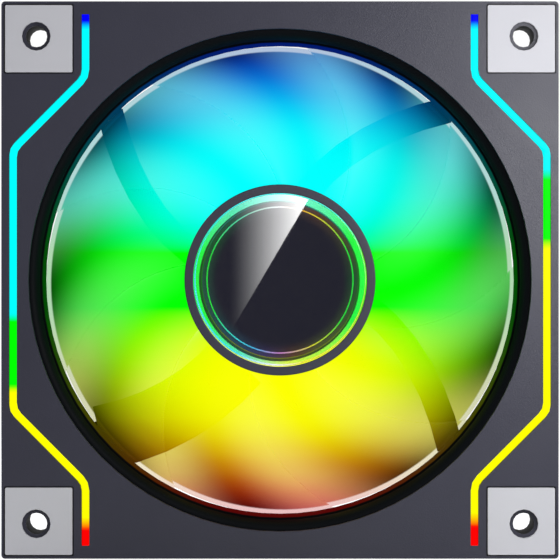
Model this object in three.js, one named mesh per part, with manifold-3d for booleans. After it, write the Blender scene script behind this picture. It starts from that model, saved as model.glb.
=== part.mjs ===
// A 120 mm case fan with a mirrored hub and two light bars, as the separate pieces it comes apart into.
// The pieces are drawn in fan axes, in millimetres: X to the right and Y up as seen from the front,
// Z towards the front, with the origin on the shaft's axis at half the fan's depth.
// The last step turns the whole fan so that it stands upright and its front faces -Y.
import * as THREE from "three";
import { mergeVertices } from "three/addons/utils/BufferGeometryUtils.js";
import { ParametricGeometry } from "three/addons/geometries/ParametricGeometry.js";
import Module from "manifold-3d";

const wasm = await Module();
wasm.setup();

// ---- driving dimensions ----------------------------------------------------------------------

const SIZE = 120; // outside width and height of the frame
const DEPTH = 25; // over the corner pads
const HOLE_PITCH = 105; // between mounting holes
const HOLE_RADIUS = 2.3;
const GAP = 0.1; // between pieces that touch
const PAST = 1; // how far a cutting shape runs past what it cuts
const DEGREE = Math.PI / 180;

const HALF = SIZE / 2;
const HOLE_AT = HOLE_PITCH / 2;
const CORNER_RADIUS = 0.8;

// Corner pads, which stand a little proud of both faces
const PAD_SIZE = 14.5;
const PAD_PROUD = 0.4;
const PAD_DEEP = 1.6;
const PAD_INSET = 0.8;
const PAD_HOLE_RADIUS = 3.1;
const PAD_CLEARANCE = 0.25;
const PAD_CENTRE = HALF - PAD_INSET - PAD_SIZE / 2;
const FACE_Z = DEPTH / 2 - PAD_PROUD; // the plastic's front face, and with a minus its rear face
const PAD_SEAT_Z = FACE_Z - PAD_DEEP;
const PAD_CORNER = 0.35;
const SCREW_AT = PAD_CENTRE - 4.6;
const SCREW = {
  head: 1.9,
  shank: 0.95,
  length: 8,
  headDepth: 0.95,
  slot: 2.2,
  slotWidth: 0.4,
  slotDepth: 0.6,
};

// Front bezel and the frame body behind it
const BEZEL_THICKNESS = 2.8;
const BEZEL_BACK_Z = FACE_Z - BEZEL_THICKNESS;
const BODY_FRONT_Z = BEZEL_BACK_Z - GAP;
const MOUTH_RADIUS = 54.2;
const THROAT_RADIUS = 51.5;
const EXIT_RADIUS = 51.3;
const DUCT_OUTSIDE = 53.3;
const LIP_DEPTH = 4;
const LIP_STEPS = 3;
const POCKET_FRONT_Z = 4.2;
const POCKET_REAR_Z = -8.1;
const POCKET_HALF = 38;

// Light bars: the corners of the right-hand one, from its top end down
const BAR_CORNERS = [
  [41.9, 57.2],
  [41.9, 43.8],
  [57.5, 28.1],
  [57.5, -28.1],
  [41.9, -43.8],
  [41.9, -57.2],
];
const BAR_BEND_RADIUS = 1.6;
const BAR_WIDTH = 1.45;
const BAR_SLOT_WIDTH = 1.65;
const BAR_FOOT_WIDTH = 2.8;
const BAR_FOOT_Z = 6.2;
const BAR_CHANNEL_WIDTH = 3.1;
const LED_BOARD_WIDTH = 2.2;
const LED_BOARD_Z = 5;
const LED_BOARD_THICKNESS = 0.4;
const BAR_LEDS = 12;
const LED_SIZE = 1.4;
const LED_HEIGHT = 0.5;
const CHANNEL_FLOOR_Z = LED_BOARD_Z - GAP;
const LINK_WIDTH = 1.8;

// Struts and motor base. Angles here are clockwise from the top, as seen from the front.
const STRUT_WIDTH = 5.7;
const WIDE_STRUT_WIDTH = 14.2;
const STRUT_FRONT_Z = -8.7;
const STRUT_START_RADIUS = 20;
const STRUT_END_RADIUS = 52.4;
const STRUT_TIP_ANGLES = [44, 134, 314];
const STRUT_SWEEP = [0.7, 0.005];
const WIDE_STRUT_TIP_ANGLE = 228;
const WIDE_STRUT_SWEEP = 0.64;
const STRUT_STEPS = 6;
const BASE_RADIUS = 21.2;
const BASE_FLOOR_Z = -9.6;
const BASE_RIM_Z = -8.4;
const BASE_RIM_THICKNESS = 0.8;
const LABEL_RADIUS = 18.2;
const LABEL_THICKNESS = 0.4;
const BOSS_RADIUS = 6.2;
const BOSS_TOP_Z = -5;
const BORE_FLOOR_Z = -10.6;

// Cable channel, in the wide strut
const LEAD_WIDTH = 4;
const LEAD_Z = -11.0;
const LEAD_THICKNESS = 0.6;
const CHANNEL_WIDTH = 5;
const CHANNEL_ROOF_Z = -10.1;
const COVER_WIDTH = 7.6;
const COVER_THICKNESS = 0.7;
const FINGER_LOOP = { length: 5, width: 3, wall: 0.5, deep: 0.3, turn: 48 };
const LEAD_START_RADIUS = 14;
const LEAD_TURN = [-44.5, -36.2];
const LEAD_PIN_RADIUS = 0.7;
const LEAD_TAIL = 5.6;
const LEAD_DROP = 1.2; // below the socket
const SOCKET = { left: -59.9, right: -52.5, bottom: -37.2, top: -26.4, rear: -5.6, front: 1.4 };
const SOCKET_WALL = 1.1;
const SOCKET_KEY = [-33, -30.6];
const CONTACTS = { count: 5, first: -35, pitch: 1.6, width: 0.7, proud: 0.25 };
const SOCKET_BOARD_THICKNESS = 1;
const LED_LEAD = { x: -55.4, y: -29.4, width: 1.4 };

// Side covers
const SIDE_COVER_THICKNESS = 1.5;
const GRIP = { pitch: 6, width: 1.2, length: 8, deep: 0.3 };

// Impeller and hub
const BLADES = 9;
const BLADE_ROOT_RADIUS = 19.6;
const BLADE_TIP_RADIUS = 50.3;
const BLADE_LEAD_Z = 7;
const BLADE_TRAIL_Z = -6;
const BLADE_CAMBER = 1.4;
const BLADE_TIP_ANGLE = 27.3;
const BLADE_SWEEP = [1.24, -0.0055];
const BLADE_HALF_ANGLE = 20.6; // over half the pitch, so each blade laps its neighbour from the front
const BLADE_NOSE = [1.25, 0.55]; // fullness at the leading edge, and the loss towards the trailing edge
const BLADE_ROOT_THICKNESS = 2.4;
const BLADE_TIP_THICKNESS = 1.5;
const HUB_RADIUS = 20.4;
const HUB_INSIDE_RADIUS = 19.0;
const HUB_REAR_Z = -6.9;
const HUB_WALL_REAR_Z = 7.0;
const HUB_WALL_FRONT_Z = 8.4;
const HUB_RIM_Z = 9.8;
const TRIM_OUTER_RADIUS = 20.6;
const TRIM_INNER_RADIUS = 18.7;
const TRIM_FRONT_Z = 11.1;
const TRIM_CHAMFER = 0.2;
const LENS_RADIUS = 18.55;
const LENS_FRONT_Z = 10.9;
const LENS_THICKNESS = 0.8;
const LIGHT_RING_OUTER = 18.5;
const LIGHT_RING_INNER = 17.0;
const MIRROR_RADIUS = 16.8;
const MIRROR_THICKNESS = 0.5;

// Motor
const YOKE_OUTER = 18.8;
const YOKE_WALL = 1.1;
const YOKE_TOP_Z = 6.8;
const YOKE_REAR_Z = -5.6;
const MAGNET_OUTER = 17.5;
const MAGNET_INNER = 15.8;
const MAGNET_HALF_HEIGHT = 5;
const CORE_RADIUS = 15.2;
const CORE_HALF_HEIGHT = 3;
const CORE_HUB_RADIUS = 6.2;
const POLES = 4;
const POLE_NECK_WIDTH = 3.4;
const NECK_OVERLAP = 0.6; // of a pole's neck with its shoe
const SHOE_INNER_RADIUS = 12.9;
const SHOE_HALF_ANGLE = 37 * DEGREE;
const INSULATOR_THICKNESS = 0.5;
const INSULATOR_INSET = 0.7;
const FENCE_THICKNESS = 0.8;
const FENCE_HALF_ANGLE = 22 * DEGREE;
const INSULATOR_HALF_ANGLE = 30 * DEGREE;
const COIL_INNER_RADIUS = 6.9;
const COIL_OUTER_RADIUS = 11.2;
const COIL_HALF_WIDTH = 4.3;
const COIL_HALF_HEIGHT = 5;
const COIL_HOLE_WIDTH = 4.3;
const COIL_HOLE_HEIGHT = 7.6;
const COIL_CORNER = 1.6;
const SHAFT_RADIUS = 1.5;
const SHAFT_CHAMFER = 0.3;
const SHAFT_FRONT_Z = 6.5;
const SHAFT_REAR_Z = -9.8;
const SHAFT_RUNNING_GAP = 0.06;
const BUSH_RADIUS = 3.6;
const BUSH_LENGTH = 1.6;
const CLIP_RADIUS = 2.5;
const CLIP_MOUTH = 1;
const TUBE_OUTER = 4.1;
const TUBE_INNER = 2.95;
const TUBE_TOP_Z = 3.2;
const BEARING_REAR_Z = -8.4;
const BEARING_TOP_Z = 2.6;
const BOARD_RADIUS = 20;
const BOARD_REAR_Z = -9.3;
const BOARD_THICKNESS = 1;
const BOARD_CHIPS = [
  { x: 11.5, y: 0, wide: 5, high: 5, tall: 1.2 }, // motor driver
  { x: 0, y: 14.1, wide: 3, high: 1.8, tall: 1.4 }, // position sensor, under the magnet
];
const HUB_LEDS = 12;
const HUB_LED_RADIUS = 18.9;

// Facets around a full turn
const ROUND_LARGE = 80;
const ROUND_MEDIUM = 40;
const ROUND_SMALL = 16;
const ARC_STEPS = 2; // on each round corner of a flat outline, times two

// ---- drawing tools ---------------------------------------------------------------------------

// A closed three.js geometry as a manifold-3d solid
function solid(geometry) {
  const plain = geometry.clone();
  plain.deleteAttribute("normal");
  plain.deleteAttribute("uv");
  const merged = mergeVertices(plain, 1e-4);
  const mesh = new wasm.Mesh({
    numProp: 3,
    vertProperties: new Float32Array(merged.attributes.position.array),
    triVerts: new Uint32Array(merged.index.array),
  });
  return new wasm.Manifold(mesh);
}

// A manifold-3d solid as a three.js geometry
function geometryOf(made) {
  const mesh = made.getMesh();
  const geometry = new THREE.BufferGeometry();
  geometry.setAttribute("position", new THREE.BufferAttribute(mesh.vertProperties, 3));
  geometry.setIndex(new THREE.BufferAttribute(mesh.triVerts, 1));
  geometry.computeVertexNormals();
  return geometry;
}

// A solid of revolution about Z from a closed outline of [radius, z] points
function turned(outline, facets) {
  const points = outline.map(([radius, z]) => new THREE.Vector2(radius, z));
  if (!THREE.ShapeUtils.isClockWise(points)) {
    points.reverse();
  }
  points.reverse();
  points.push(points[0].clone());
  return solid(new THREE.LatheGeometry(points, facets).rotateX(Math.PI / 2));
}

// A tube about Z, with its hole
function tube(outer, inner, rear, front, facets) {
  return turned([[inner, rear], [outer, rear], [outer, front], [inner, front]], facets);
}

// A round bar along Z, centred on x and y
function rod(radius, rear, front, facets, x = 0, y = 0) {
  const bar = new THREE.CylinderGeometry(radius, radius, front - rear, facets);
  return solid(bar.rotateX(Math.PI / 2).translate(x, y, (rear + front) / 2));
}

// A straight-sided block from its lowest to its highest corner
function block([x0, y0, z0], [x1, y1, z1]) {
  const box = new THREE.BoxGeometry(x1 - x0, y1 - y0, z1 - z0);
  return solid(box.translate((x0 + x1) / 2, (y0 + y1) / 2, (z0 + z1) / 2));
}

// A flat outline pushed through from rear to front
function extruded(shape, rear, front) {
  const options = { depth: front - rear, bevelEnabled: false, curveSegments: ARC_STEPS };
  return solid(new THREE.ExtrudeGeometry(shape, options).translate(0, 0, rear));
}

// A rectangle with round corners, centred on x and y
function roundedRectangle(width, height, radius, x = 0, y = 0) {
  const [left, bottom] = [x - width / 2, y - height / 2];
  const [right, top] = [left + width, bottom + height];
  const shape = new THREE.Shape();
  shape.absarc(right - radius, bottom + radius, radius, -Math.PI / 2, 0);
  shape.absarc(right - radius, top - radius, radius, 0, Math.PI / 2);
  shape.absarc(left + radius, top - radius, radius, Math.PI / 2, Math.PI);
  shape.absarc(left + radius, bottom + radius, radius, Math.PI, 1.5 * Math.PI);
  return shape;
}

// A line through corners whose bends are rounded
function roundedLine(corners, radius) {
  const at = corners.map(([x, y]) => new THREE.Vector2(x, y));
  const path = new THREE.Path();
  path.moveTo(at[0].x, at[0].y);
  for (let i = 1; i < at.length - 1; i++) {
    const before = at[i].clone().lerp(at[i - 1], radius / at[i].distanceTo(at[i - 1]));
    const after = at[i].clone().lerp(at[i + 1], radius / at[i].distanceTo(at[i + 1]));
    path.lineTo(before.x, before.y);
    path.quadraticCurveTo(at[i].x, at[i].y, after.x, after.y);
  }
  path.lineTo(at.at(-1).x, at.at(-1).y);
  return path.getPoints(ARC_STEPS);
}

// The outline of a band of even width along a line of points
function band(points, width) {
  const side = (sign) =>
    points.map((point, i) => {
      const before = points[Math.max(i - 1, 0)];
      const after = points[Math.min(i + 1, points.length - 1)];
      const arriving = point.clone().sub(i > 0 ? before : after).normalize();
      const leaving = after.clone().sub(point).normalize();
      if (i === 0) arriving.negate();
      if (i === points.length - 1) leaving.copy(arriving);
      const normal = new THREE.Vector2(-leaving.y, leaving.x);
      const mitre = new THREE.Vector2(-arriving.y, arriving.x).add(normal).normalize();
      return point.clone().addScaledVector(mitre, (sign * width) / 2 / mitre.dot(normal));
    });
  return new THREE.Shape([...side(-1), ...side(1).reverse()]);
}

// A point at a radius and an angle clockwise from the top
function clockPoint(radius, degrees) {
  return new THREE.Vector2(radius * Math.sin(degrees * DEGREE), radius * Math.cos(degrees * DEGREE));
}

function unionOf(solids) {
  return solids.reduce((whole, next) => whole.add(next));
}

function cutAll(whole, cutters) {
  return cutters.reduce((left, next) => left.subtract(next), whole);
}

// The four corners, as [x sign, y sign, name]
const CORNERS = [
  [-1, 1, "top_left"],
  [1, 1, "top_right"],
  [-1, -1, "bottom_left"],
  [1, -1, "bottom_right"],
];

// ---- finishes --------------------------------------------------------------------------------

function finish(color, roughness, metalness = 0) {
  return new THREE.MeshStandardMaterial({ color, roughness, metalness });
}

const FINISHES = {
  greyPlastic: finish(0x4b4953, 0.6),
  blackPlastic: finish(0x101216, 0.45),
  padRubber: finish(0xc4c4cc, 0.8),
  barPlastic: finish(0x7df4f0, 0.4),
  bladePlastic: finish(0x58e0b0, 0.45),
  board: finish(0x14301f, 0.5),
  steel: finish(0x9a9ca0, 0.35, 1),
  brass: finish(0xb5935a, 0.35, 1),
  bronze: finish(0x8f6238, 0.55, 1),
  copper: finish(0xb4622e, 0.35, 1),
  magnet: finish(0x2b2a2c, 0.7),
  nylon: finish(0xe6e3da, 0.5),
  mirror: finish(0x24242e, 0.05, 1),
  lens: finish(0x2a2a34, 0.05),
  label: finish(0x2e2f36, 0.4),
};

// ---- frame -----------------------------------------------------------------------------------

const barLine = roundedLine(BAR_CORNERS, BAR_BEND_RADIUS);
const leftBarLine = barLine.map((point) => new THREE.Vector2(-point.x, point.y)).reverse();

function mountingHoles(radius) {
  return CORNERS.map(([sx, sy]) =>
    rod(radius, -FACE_Z - PAST, FACE_Z + PAST, ROUND_SMALL, sx * HOLE_AT, sy * HOLE_AT),
  );
}

// Square seats for the pads, cut into one face
function padSeats(rear, front) {
  const width = PAD_SIZE + 2 * PAD_CLEARANCE;
  return CORNERS.map(([sx, sy]) =>
    extruded(roundedRectangle(width, width, PAD_CORNER, sx * PAD_CENTRE, sy * PAD_CENTRE), rear, front),
  );
}

// A small countersunk screw under each front pad holds the bezel to the body.
function screwOutline(grow, top) {
  const headRear = top - SCREW.headDepth;
  return [
    [0, top - SCREW.length - grow],
    [SCREW.shank + grow, top - SCREW.length - grow],
    [SCREW.shank + grow, headRear],
    [SCREW.head + grow, top],
    [0, top],
  ];
}

function screwHoles() {
  const top = PAD_SEAT_Z;
  const outline = screwOutline(GAP, top);
  outline.splice(4, 1, [SCREW.head + GAP, top + PAST], [0, top + PAST]);
  const hole = turned(outline, ROUND_SMALL);
  return CORNERS.map(([sx, sy]) => hole.translate([sx * SCREW_AT, sy * SCREW_AT, 0]));
}

function bezelScrew() {
  const [reach, half] = [SCREW.slot / 2, SCREW.slotWidth / 2];
  const [floor, roof] = [PAD_SEAT_Z - SCREW.slotDepth, PAD_SEAT_Z + PAST];
  const slot = block([-reach, -half, floor], [reach, half, roof]);
  const body = turned(screwOutline(0, PAD_SEAT_Z - GAP), ROUND_SMALL);
  return cutAll(body, [slot, slot.rotate([0, 0, 90])]);
}

// The flat front fascia: its round mouth, the two light-bar slots and the pad seats
function frontBezel() {
  const plate = extruded(roundedRectangle(SIZE, SIZE, CORNER_RADIUS), BEZEL_BACK_Z, FACE_Z);
  const slots = [barLine, leftBarLine].map((line) =>
    extruded(band(line, BAR_SLOT_WIDTH), BEZEL_BACK_Z - PAST, FACE_Z + PAST),
  );
  return cutAll(plate, [
    rod(MOUTH_RADIUS, BEZEL_BACK_Z - PAST, FACE_Z + PAST, ROUND_LARGE),
    ...slots,
    ...padSeats(PAD_SEAT_Z, FACE_Z + PAST),
    ...mountingHoles(HOLE_RADIUS),
    ...screwHoles(),
  ]);
}

// The air's way through the body: a rounded lip, then a slightly tapering duct
function ductHole() {
  const lip = [];
  for (let step = 0; step <= LIP_STEPS; step++) {
    const turn = (step / LIP_STEPS) * (Math.PI / 2);
    const radius = MOUTH_RADIUS - (MOUTH_RADIUS - THROAT_RADIUS) * Math.cos(turn);
    lip.push([radius, BODY_FRONT_Z - LIP_DEPTH + LIP_DEPTH * Math.sin(turn)]);
  }
  return turned(
    [
      [0, -FACE_Z - PAST],
      [EXIT_RADIUS, -FACE_Z - PAST],
      ...lip,
      [MOUTH_RADIUS, BODY_FRONT_Z + PAST],
      [0, BODY_FRONT_Z + PAST],
    ],
    ROUND_LARGE,
  );
}

// Hollows in the four sides, between the flanges and outside the duct's wall
function sidePockets() {
  const duct = rod(DUCT_OUTSIDE, POCKET_REAR_Z - PAST, POCKET_FRONT_Z + PAST, ROUND_LARGE);
  const reach = HALF + PAST;
  const inside = [0, -POCKET_HALF, POCKET_REAR_Z];
  const outside = [reach, POCKET_HALF, POCKET_FRONT_Z];
  const right = block(inside, outside).subtract(duct);
  return [0, 90, 180, 270].map((turn) => right.rotate([0, 0, turn]));
}

function strutLine(tipAngle, startRadius, endRadius, sweep) {
  const points = [];
  for (let step = 0; step <= STRUT_STEPS; step++) {
    const radius = startRadius + ((endRadius - startRadius) * step) / STRUT_STEPS;
    points.push(clockPoint(radius, tipAngle - sweep(THROAT_RADIUS - radius)));
  }
  return points;
}

// Degrees that a strut has turned back from its tip, a distance in from the duct's wall
const narrowSweep = (inward) => STRUT_SWEEP[0] * inward + STRUT_SWEEP[1] * inward ** 2;
const wideSweep = (inward) => WIDE_STRUT_SWEEP * inward;

function struts() {
  const narrow = STRUT_TIP_ANGLES.map((angle) => {
    const line = strutLine(angle, STRUT_START_RADIUS, STRUT_END_RADIUS, narrowSweep);
    return extruded(band(line, STRUT_WIDTH), -FACE_Z, STRUT_FRONT_Z);
  });
  const line = strutLine(WIDE_STRUT_TIP_ANGLE, STRUT_START_RADIUS, STRUT_END_RADIUS, wideSweep);
  return [...narrow, extruded(band(line, WIDE_STRUT_WIDTH), -FACE_Z, STRUT_FRONT_Z)];
}

// The round plate that carries the motor, with a rim, a boss for the bearing and a seat for the label
function motorBase() {
  const rimInside = BASE_RADIUS - BASE_RIM_THICKNESS;
  const labelSeat = -FACE_Z + LABEL_THICKNESS + GAP;
  const bore = TUBE_OUTER + GAP;
  return turned(
    [
      [0, labelSeat],
      [LABEL_RADIUS + GAP, labelSeat],
      [LABEL_RADIUS + GAP, -FACE_Z],
      [BASE_RADIUS, -FACE_Z],
      [BASE_RADIUS, BASE_RIM_Z],
      [rimInside, BASE_RIM_Z],
      [rimInside, BASE_FLOOR_Z],
      [BOSS_RADIUS, BASE_FLOOR_Z],
      [BOSS_RADIUS, BOSS_TOP_Z],
      [bore, BOSS_TOP_Z],
      [bore, BORE_FLOOR_Z],
      [0, BORE_FLOOR_Z],
    ],
    ROUND_MEDIUM,
  );
}

// The lead's line along the wide strut, and on past the duct's wall to the pocket
function leadLine(startRadius) {
  const line = strutLine(WIDE_STRUT_TIP_ANGLE, startRadius, STRUT_END_RADIUS, wideSweep);
  return [...line, new THREE.Vector2(...LEAD_TURN)];
}

function cableChannel() {
  const line = leadLine(LEAD_START_RADIUS);
  const [x, y] = LEAD_TURN;
  const half = CHANNEL_WIDTH / 2;
  return [
    extruded(band(line, CHANNEL_WIDTH), -FACE_Z - PAST, CHANNEL_ROOF_Z),
    extruded(band(coverLine(), COVER_WIDTH + 2 * GAP), -FACE_Z - PAST, -FACE_Z + COVER_THICKNESS + GAP),
    block([x - half, y - half, -FACE_Z - PAST], [x + half, y + half, POCKET_REAR_Z + PAST]),
    rod(half, -FACE_Z, BASE_FLOOR_Z + PAST, ROUND_SMALL, line[0].x, line[0].y),
  ];
}

function coverLine() {
  const line = leadLine(BASE_RADIUS + 1);
  const end = line.at(-1).clone();
  const beyond = end.clone().sub(line.at(-2)).normalize();
  line[line.length - 1] = end.addScaledVector(beyond, CHANNEL_WIDTH / 2);
  return line;
}

function frameBody() {
  const square = extruded(roundedRectangle(SIZE, SIZE, CORNER_RADIUS), -FACE_Z, BODY_FRONT_Z);
  const channels = [barLine, leftBarLine].map((line) =>
    extruded(band(line, BAR_CHANNEL_WIDTH), CHANNEL_FLOOR_Z, BODY_FRONT_Z + PAST),
  );
  const shell = cutAll(square, [ductHole(), ...sidePockets()]);
  const boardSpace = rod(BASE_RADIUS - BASE_RIM_THICKNESS, BASE_FLOOR_Z, 0, ROUND_MEDIUM);
  const whole = unionOf([shell, unionOf(struts()).subtract(boardSpace), motorBase()]);
  const linkHalf = LINK_WIDTH / 2 + 2 * GAP;
  const linkY = BAR_CORNERS.at(-1)[1];
  const linkReach = BAR_CORNERS.at(-1)[0];
  return cutAll(whole, [
    ...channels,
    block([-linkReach, linkY, CHANNEL_FLOOR_Z], [linkReach, linkY + 2 * linkHalf, BODY_FRONT_Z + PAST]),
    ...padSeats(-FACE_Z - PAST, -PAD_SEAT_Z),
    ...mountingHoles(HOLE_RADIUS),
    ...screwHoles(),
    ...cableChannel(),
    ledLeadHole(),
  ]);
}

function lightBar(line) {
  const foot = extruded(band(line, BAR_FOOT_WIDTH), BAR_FOOT_Z, BODY_FRONT_Z - GAP);
  const rib = extruded(band(line, BAR_WIDTH), BODY_FRONT_Z - 2 * GAP, FACE_Z - GAP / 2);
  return foot.add(rib);
}

// A flexible circuit under each light bar, with its LEDs
function ledBoard(line) {
  const top = LED_BOARD_Z + LED_BOARD_THICKNESS;
  const strip = extruded(band(line, LED_BOARD_WIDTH), LED_BOARD_Z, top);
  const path = new THREE.Path(line);
  const leds = [];
  for (let i = 0; i < BAR_LEDS; i++) {
    const { x, y } = path.getPoint((i + 0.5) / BAR_LEDS);
    const half = LED_SIZE / 2;
    leds.push(block([x - half, y - half, top - GAP], [x + half, y + half, top + LED_HEIGHT]));
  }
  return unionOf([strip, ...leds]);
}

// Carries the left light bar's signal across the bottom to the right one
function ledLink() {
  const [x, y] = BAR_CORNERS.at(-1);
  const reach = x - LED_BOARD_WIDTH / 2 - 3 * GAP;
  const low = [-reach, y + 2 * GAP, LED_BOARD_Z];
  return block(low, [reach, y + 2 * GAP + LINK_WIDTH, LED_BOARD_Z + LED_BOARD_THICKNESS]);
}

// One pad; a front pad and a rear pad have the same shape
function cornerPad(sx, sy, rear, front) {
  const square = roundedRectangle(PAD_SIZE, PAD_SIZE, PAD_CORNER, sx * PAD_CENTRE, sy * PAD_CENTRE);
  const hole = rod(PAD_HOLE_RADIUS, rear - PAST, front + PAST, ROUND_SMALL, sx * HOLE_AT, sy * HOLE_AT);
  return extruded(square, rear, front).subtract(hole);
}

// Panels that close the left and right pockets. The left one stops short of the socket.
function sideCover(side, bottom) {
  const [low, high] = [HALF - SIDE_COVER_THICKNESS, HALF - GAP];
  const xs = side > 0 ? [low, high] : [-high, -low];
  const edge = 2 * GAP;
  const panel = block(
    [xs[0], bottom + edge, POCKET_REAR_Z + edge],
    [xs[1], POCKET_HALF - edge, POCKET_FRONT_Z - edge],
  );
  const centre = (bottom + POCKET_HALF) / 2;
  const middle = (POCKET_REAR_Z + POCKET_FRONT_Z) / 2;
  const outer = side > 0 ? [high - GRIP.deep, high + PAST] : [-high - PAST, -high + GRIP.deep];
  const grooves = [-2, -1, 0, 1, 2].map((step) => {
    const y = centre + step * GRIP.pitch;
    const low = [outer[0], y - GRIP.width / 2, middle - GRIP.length / 2];
    return block(low, [outer[1], y + GRIP.width / 2, middle + GRIP.length / 2]);
  });
  return cutAll(panel, grooves);
}

// The socket for the plug-in cable opens to the left, with flat contacts along its rear wall
function cableSocket() {
  const s = SOCKET;
  const shell = block([s.left, s.bottom, s.rear], [s.right, s.top, s.front]);
  const [w, e] = [SOCKET_WALL, PAST];
  const mouth = block(
    [s.left - e, s.bottom + w, s.rear + w],
    [s.right - w, s.top - w, s.front - w],
  );
  const [keyLow, keyHigh] = SOCKET_KEY;
  const key = block([s.left - e, keyLow, s.front - w - GAP], [s.right - 2 * w, keyHigh, s.front - w / 2]);
  const floor = s.rear + w;
  const contacts = Array.from({ length: CONTACTS.count }, (_, i) => {
    const y = CONTACTS.first + i * CONTACTS.pitch;
    const high = [s.right - w + GAP, y + CONTACTS.width / 2, floor + CONTACTS.proud];
    return block([s.left + w, y - CONTACTS.width / 2, floor - GAP], high);
  });
  return unionOf([cutAll(shell, [mouth, key]), ...contacts]);
}

function socketBoard() {
  const x = SOCKET.right + GAP;
  const low = [x, SOCKET.bottom + 4 * GAP, SOCKET.rear];
  return block(low, [x + SOCKET_BOARD_THICKNESS, SOCKET.top, POCKET_FRONT_Z - PAST]);
}

// A short lead from the socket's board up to the left light bar's circuit
function ledLeadHole() {
  const { x, y, width } = LED_LEAD;
  const half = width / 2 + 2 * GAP;
  return block([x - half, y - half, POCKET_FRONT_Z - PAST], [x + half, y + half, CHANNEL_FLOOR_Z + GAP]);
}

function sideLedLead() {
  const { x, y, width } = LED_LEAD;
  const half = width / 2;
  return block([x - half, y - half, SOCKET.front + GAP], [x + half, y + half, LED_BOARD_Z - GAP]);
}

// The flat lead from the motor's board, along the wide strut, to the socket's board
function motorLead() {
  const line = leadLine(LEAD_START_RADIUS);
  const half = LEAD_WIDTH / 2 - 4 * GAP;
  const top = LEAD_Z + LEAD_THICKNESS;
  const run = extruded(band(line, LEAD_WIDTH), LEAD_Z, top);
  const [x, y] = LEAD_TURN;
  const start = line[0];
  const rise = rod(LEAD_PIN_RADIUS, top - GAP, BOARD_REAR_Z - GAP, ROUND_SMALL, start.x, start.y);
  const roof = SOCKET.rear - LEAD_DROP;
  const end = block([x - half, y - half, top - GAP], [x + half, y + half, roof]);
  const tail = block([x - half - LEAD_TAIL, y - half, roof - LEAD_THICKNESS], [x + half, y + half, roof]);
  return unionOf([run, rise, end, tail]);
}

// The snap-in cover over the cable channel, with a grooved finger loop
function strutCover() {
  const line = coverLine();
  const plate = extruded(band(line, COVER_WIDTH), -FACE_Z, -FACE_Z + COVER_THICKNESS);
  const middle = line[4];
  const { length, width, wall, deep, turn } = FINGER_LOOP;
  const outline = roundedRectangle(length, width, width / 2 - GAP);
  const island = roundedRectangle(length - 2 * wall, width - 2 * wall, width / 2 - wall - GAP);
  const loop = extruded(outline, -FACE_Z - PAST, -FACE_Z + deep);
  const core = extruded(island, -FACE_Z - 2 * PAST, -FACE_Z + PAST);
  const groove = loop.subtract(core).rotate([0, 0, turn]).translate([middle.x, middle.y, 0]);
  return plate.subtract(groove);
}

function rearLabel() {
  return rod(LABEL_RADIUS, -FACE_Z, -FACE_Z + LABEL_THICKNESS, ROUND_MEDIUM);
}

// ---- motor -----------------------------------------------------------------------------------

// The round board behind the rotor: hub LEDs, a driver chip and a position sensor
function motorBoard() {
  const top = BOARD_REAR_Z + BOARD_THICKNESS;
  const half = LED_SIZE / 2;
  const disc = tube(BOARD_RADIUS, BOSS_RADIUS + 2 * GAP, BOARD_REAR_Z, top, ROUND_MEDIUM);
  const led = block(
    [HUB_LED_RADIUS - half, -half, top - GAP],
    [HUB_LED_RADIUS + half, half, top + LED_HEIGHT],
  );
  const step = 360 / HUB_LEDS;
  const leds = Array.from({ length: HUB_LEDS }, (_, i) => led.rotate([0, 0, step * (i + 0.5)]));
  const chips = BOARD_CHIPS.map(({ x, y, wide, high, tall }) =>
    block([x - wide / 2, y - high / 2, top - GAP], [x + wide / 2, y + high / 2, top + tall]),
  );
  return unionOf([disc, ...leds, ...chips]);
}

// A flat four-pole star: hub, necks and curved shoes
function poleStar(neckWidth, shoeHalfAngle, inner, outer, rear, front) {
  const shoe = new THREE.Shape();
  shoe.absarc(0, 0, outer, -shoeHalfAngle, shoeHalfAngle);
  shoe.absarc(0, 0, inner, shoeHalfAngle, -shoeHalfAngle, true);
  const pole = unionOf([
    extruded(shoe, rear, front),
    block([CORE_HUB_RADIUS - 1, -neckWidth / 2, rear], [inner + NECK_OVERLAP, neckWidth / 2, front]),
  ]);
  const poles = Array.from({ length: POLES }, (_, i) => pole.rotate([0, 0, (360 / POLES) * i]));
  return unionOf([tube(CORE_HUB_RADIUS, TUBE_OUTER + GAP, rear, front, ROUND_SMALL), ...poles]);
}

function statorCore() {
  const half = CORE_HALF_HEIGHT;
  return poleStar(POLE_NECK_WIDTH, SHOE_HALF_ANGLE, SHOE_INNER_RADIUS, CORE_RADIUS, -half, half);
}

// The insulator that caps the core at the front; the rear one is the same piece turned over
function insulator() {
  const rear = CORE_HALF_HEIGHT + GAP;
  const front = rear + INSULATOR_THICKNESS;
  const wallFront = COIL_HALF_HEIGHT - GAP;
  const inner = SHOE_INNER_RADIUS - INSULATOR_INSET;
  const plate = poleStar(POLE_NECK_WIDTH, INSULATOR_HALF_ANGLE, inner, SHOE_INNER_RADIUS + 1, rear, front);
  const wall = new THREE.Shape();
  wall.absarc(0, 0, inner + FENCE_THICKNESS, -FENCE_HALF_ANGLE, FENCE_HALF_ANGLE);
  wall.absarc(0, 0, inner, FENCE_HALF_ANGLE, -FENCE_HALF_ANGLE, true);
  const fence = extruded(wall, front - GAP, wallFront);
  const fences = Array.from({ length: POLES }, (_, i) => fence.rotate([0, 0, (360 / POLES) * i]));
  return unionOf([plate, ...fences]);
}

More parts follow.
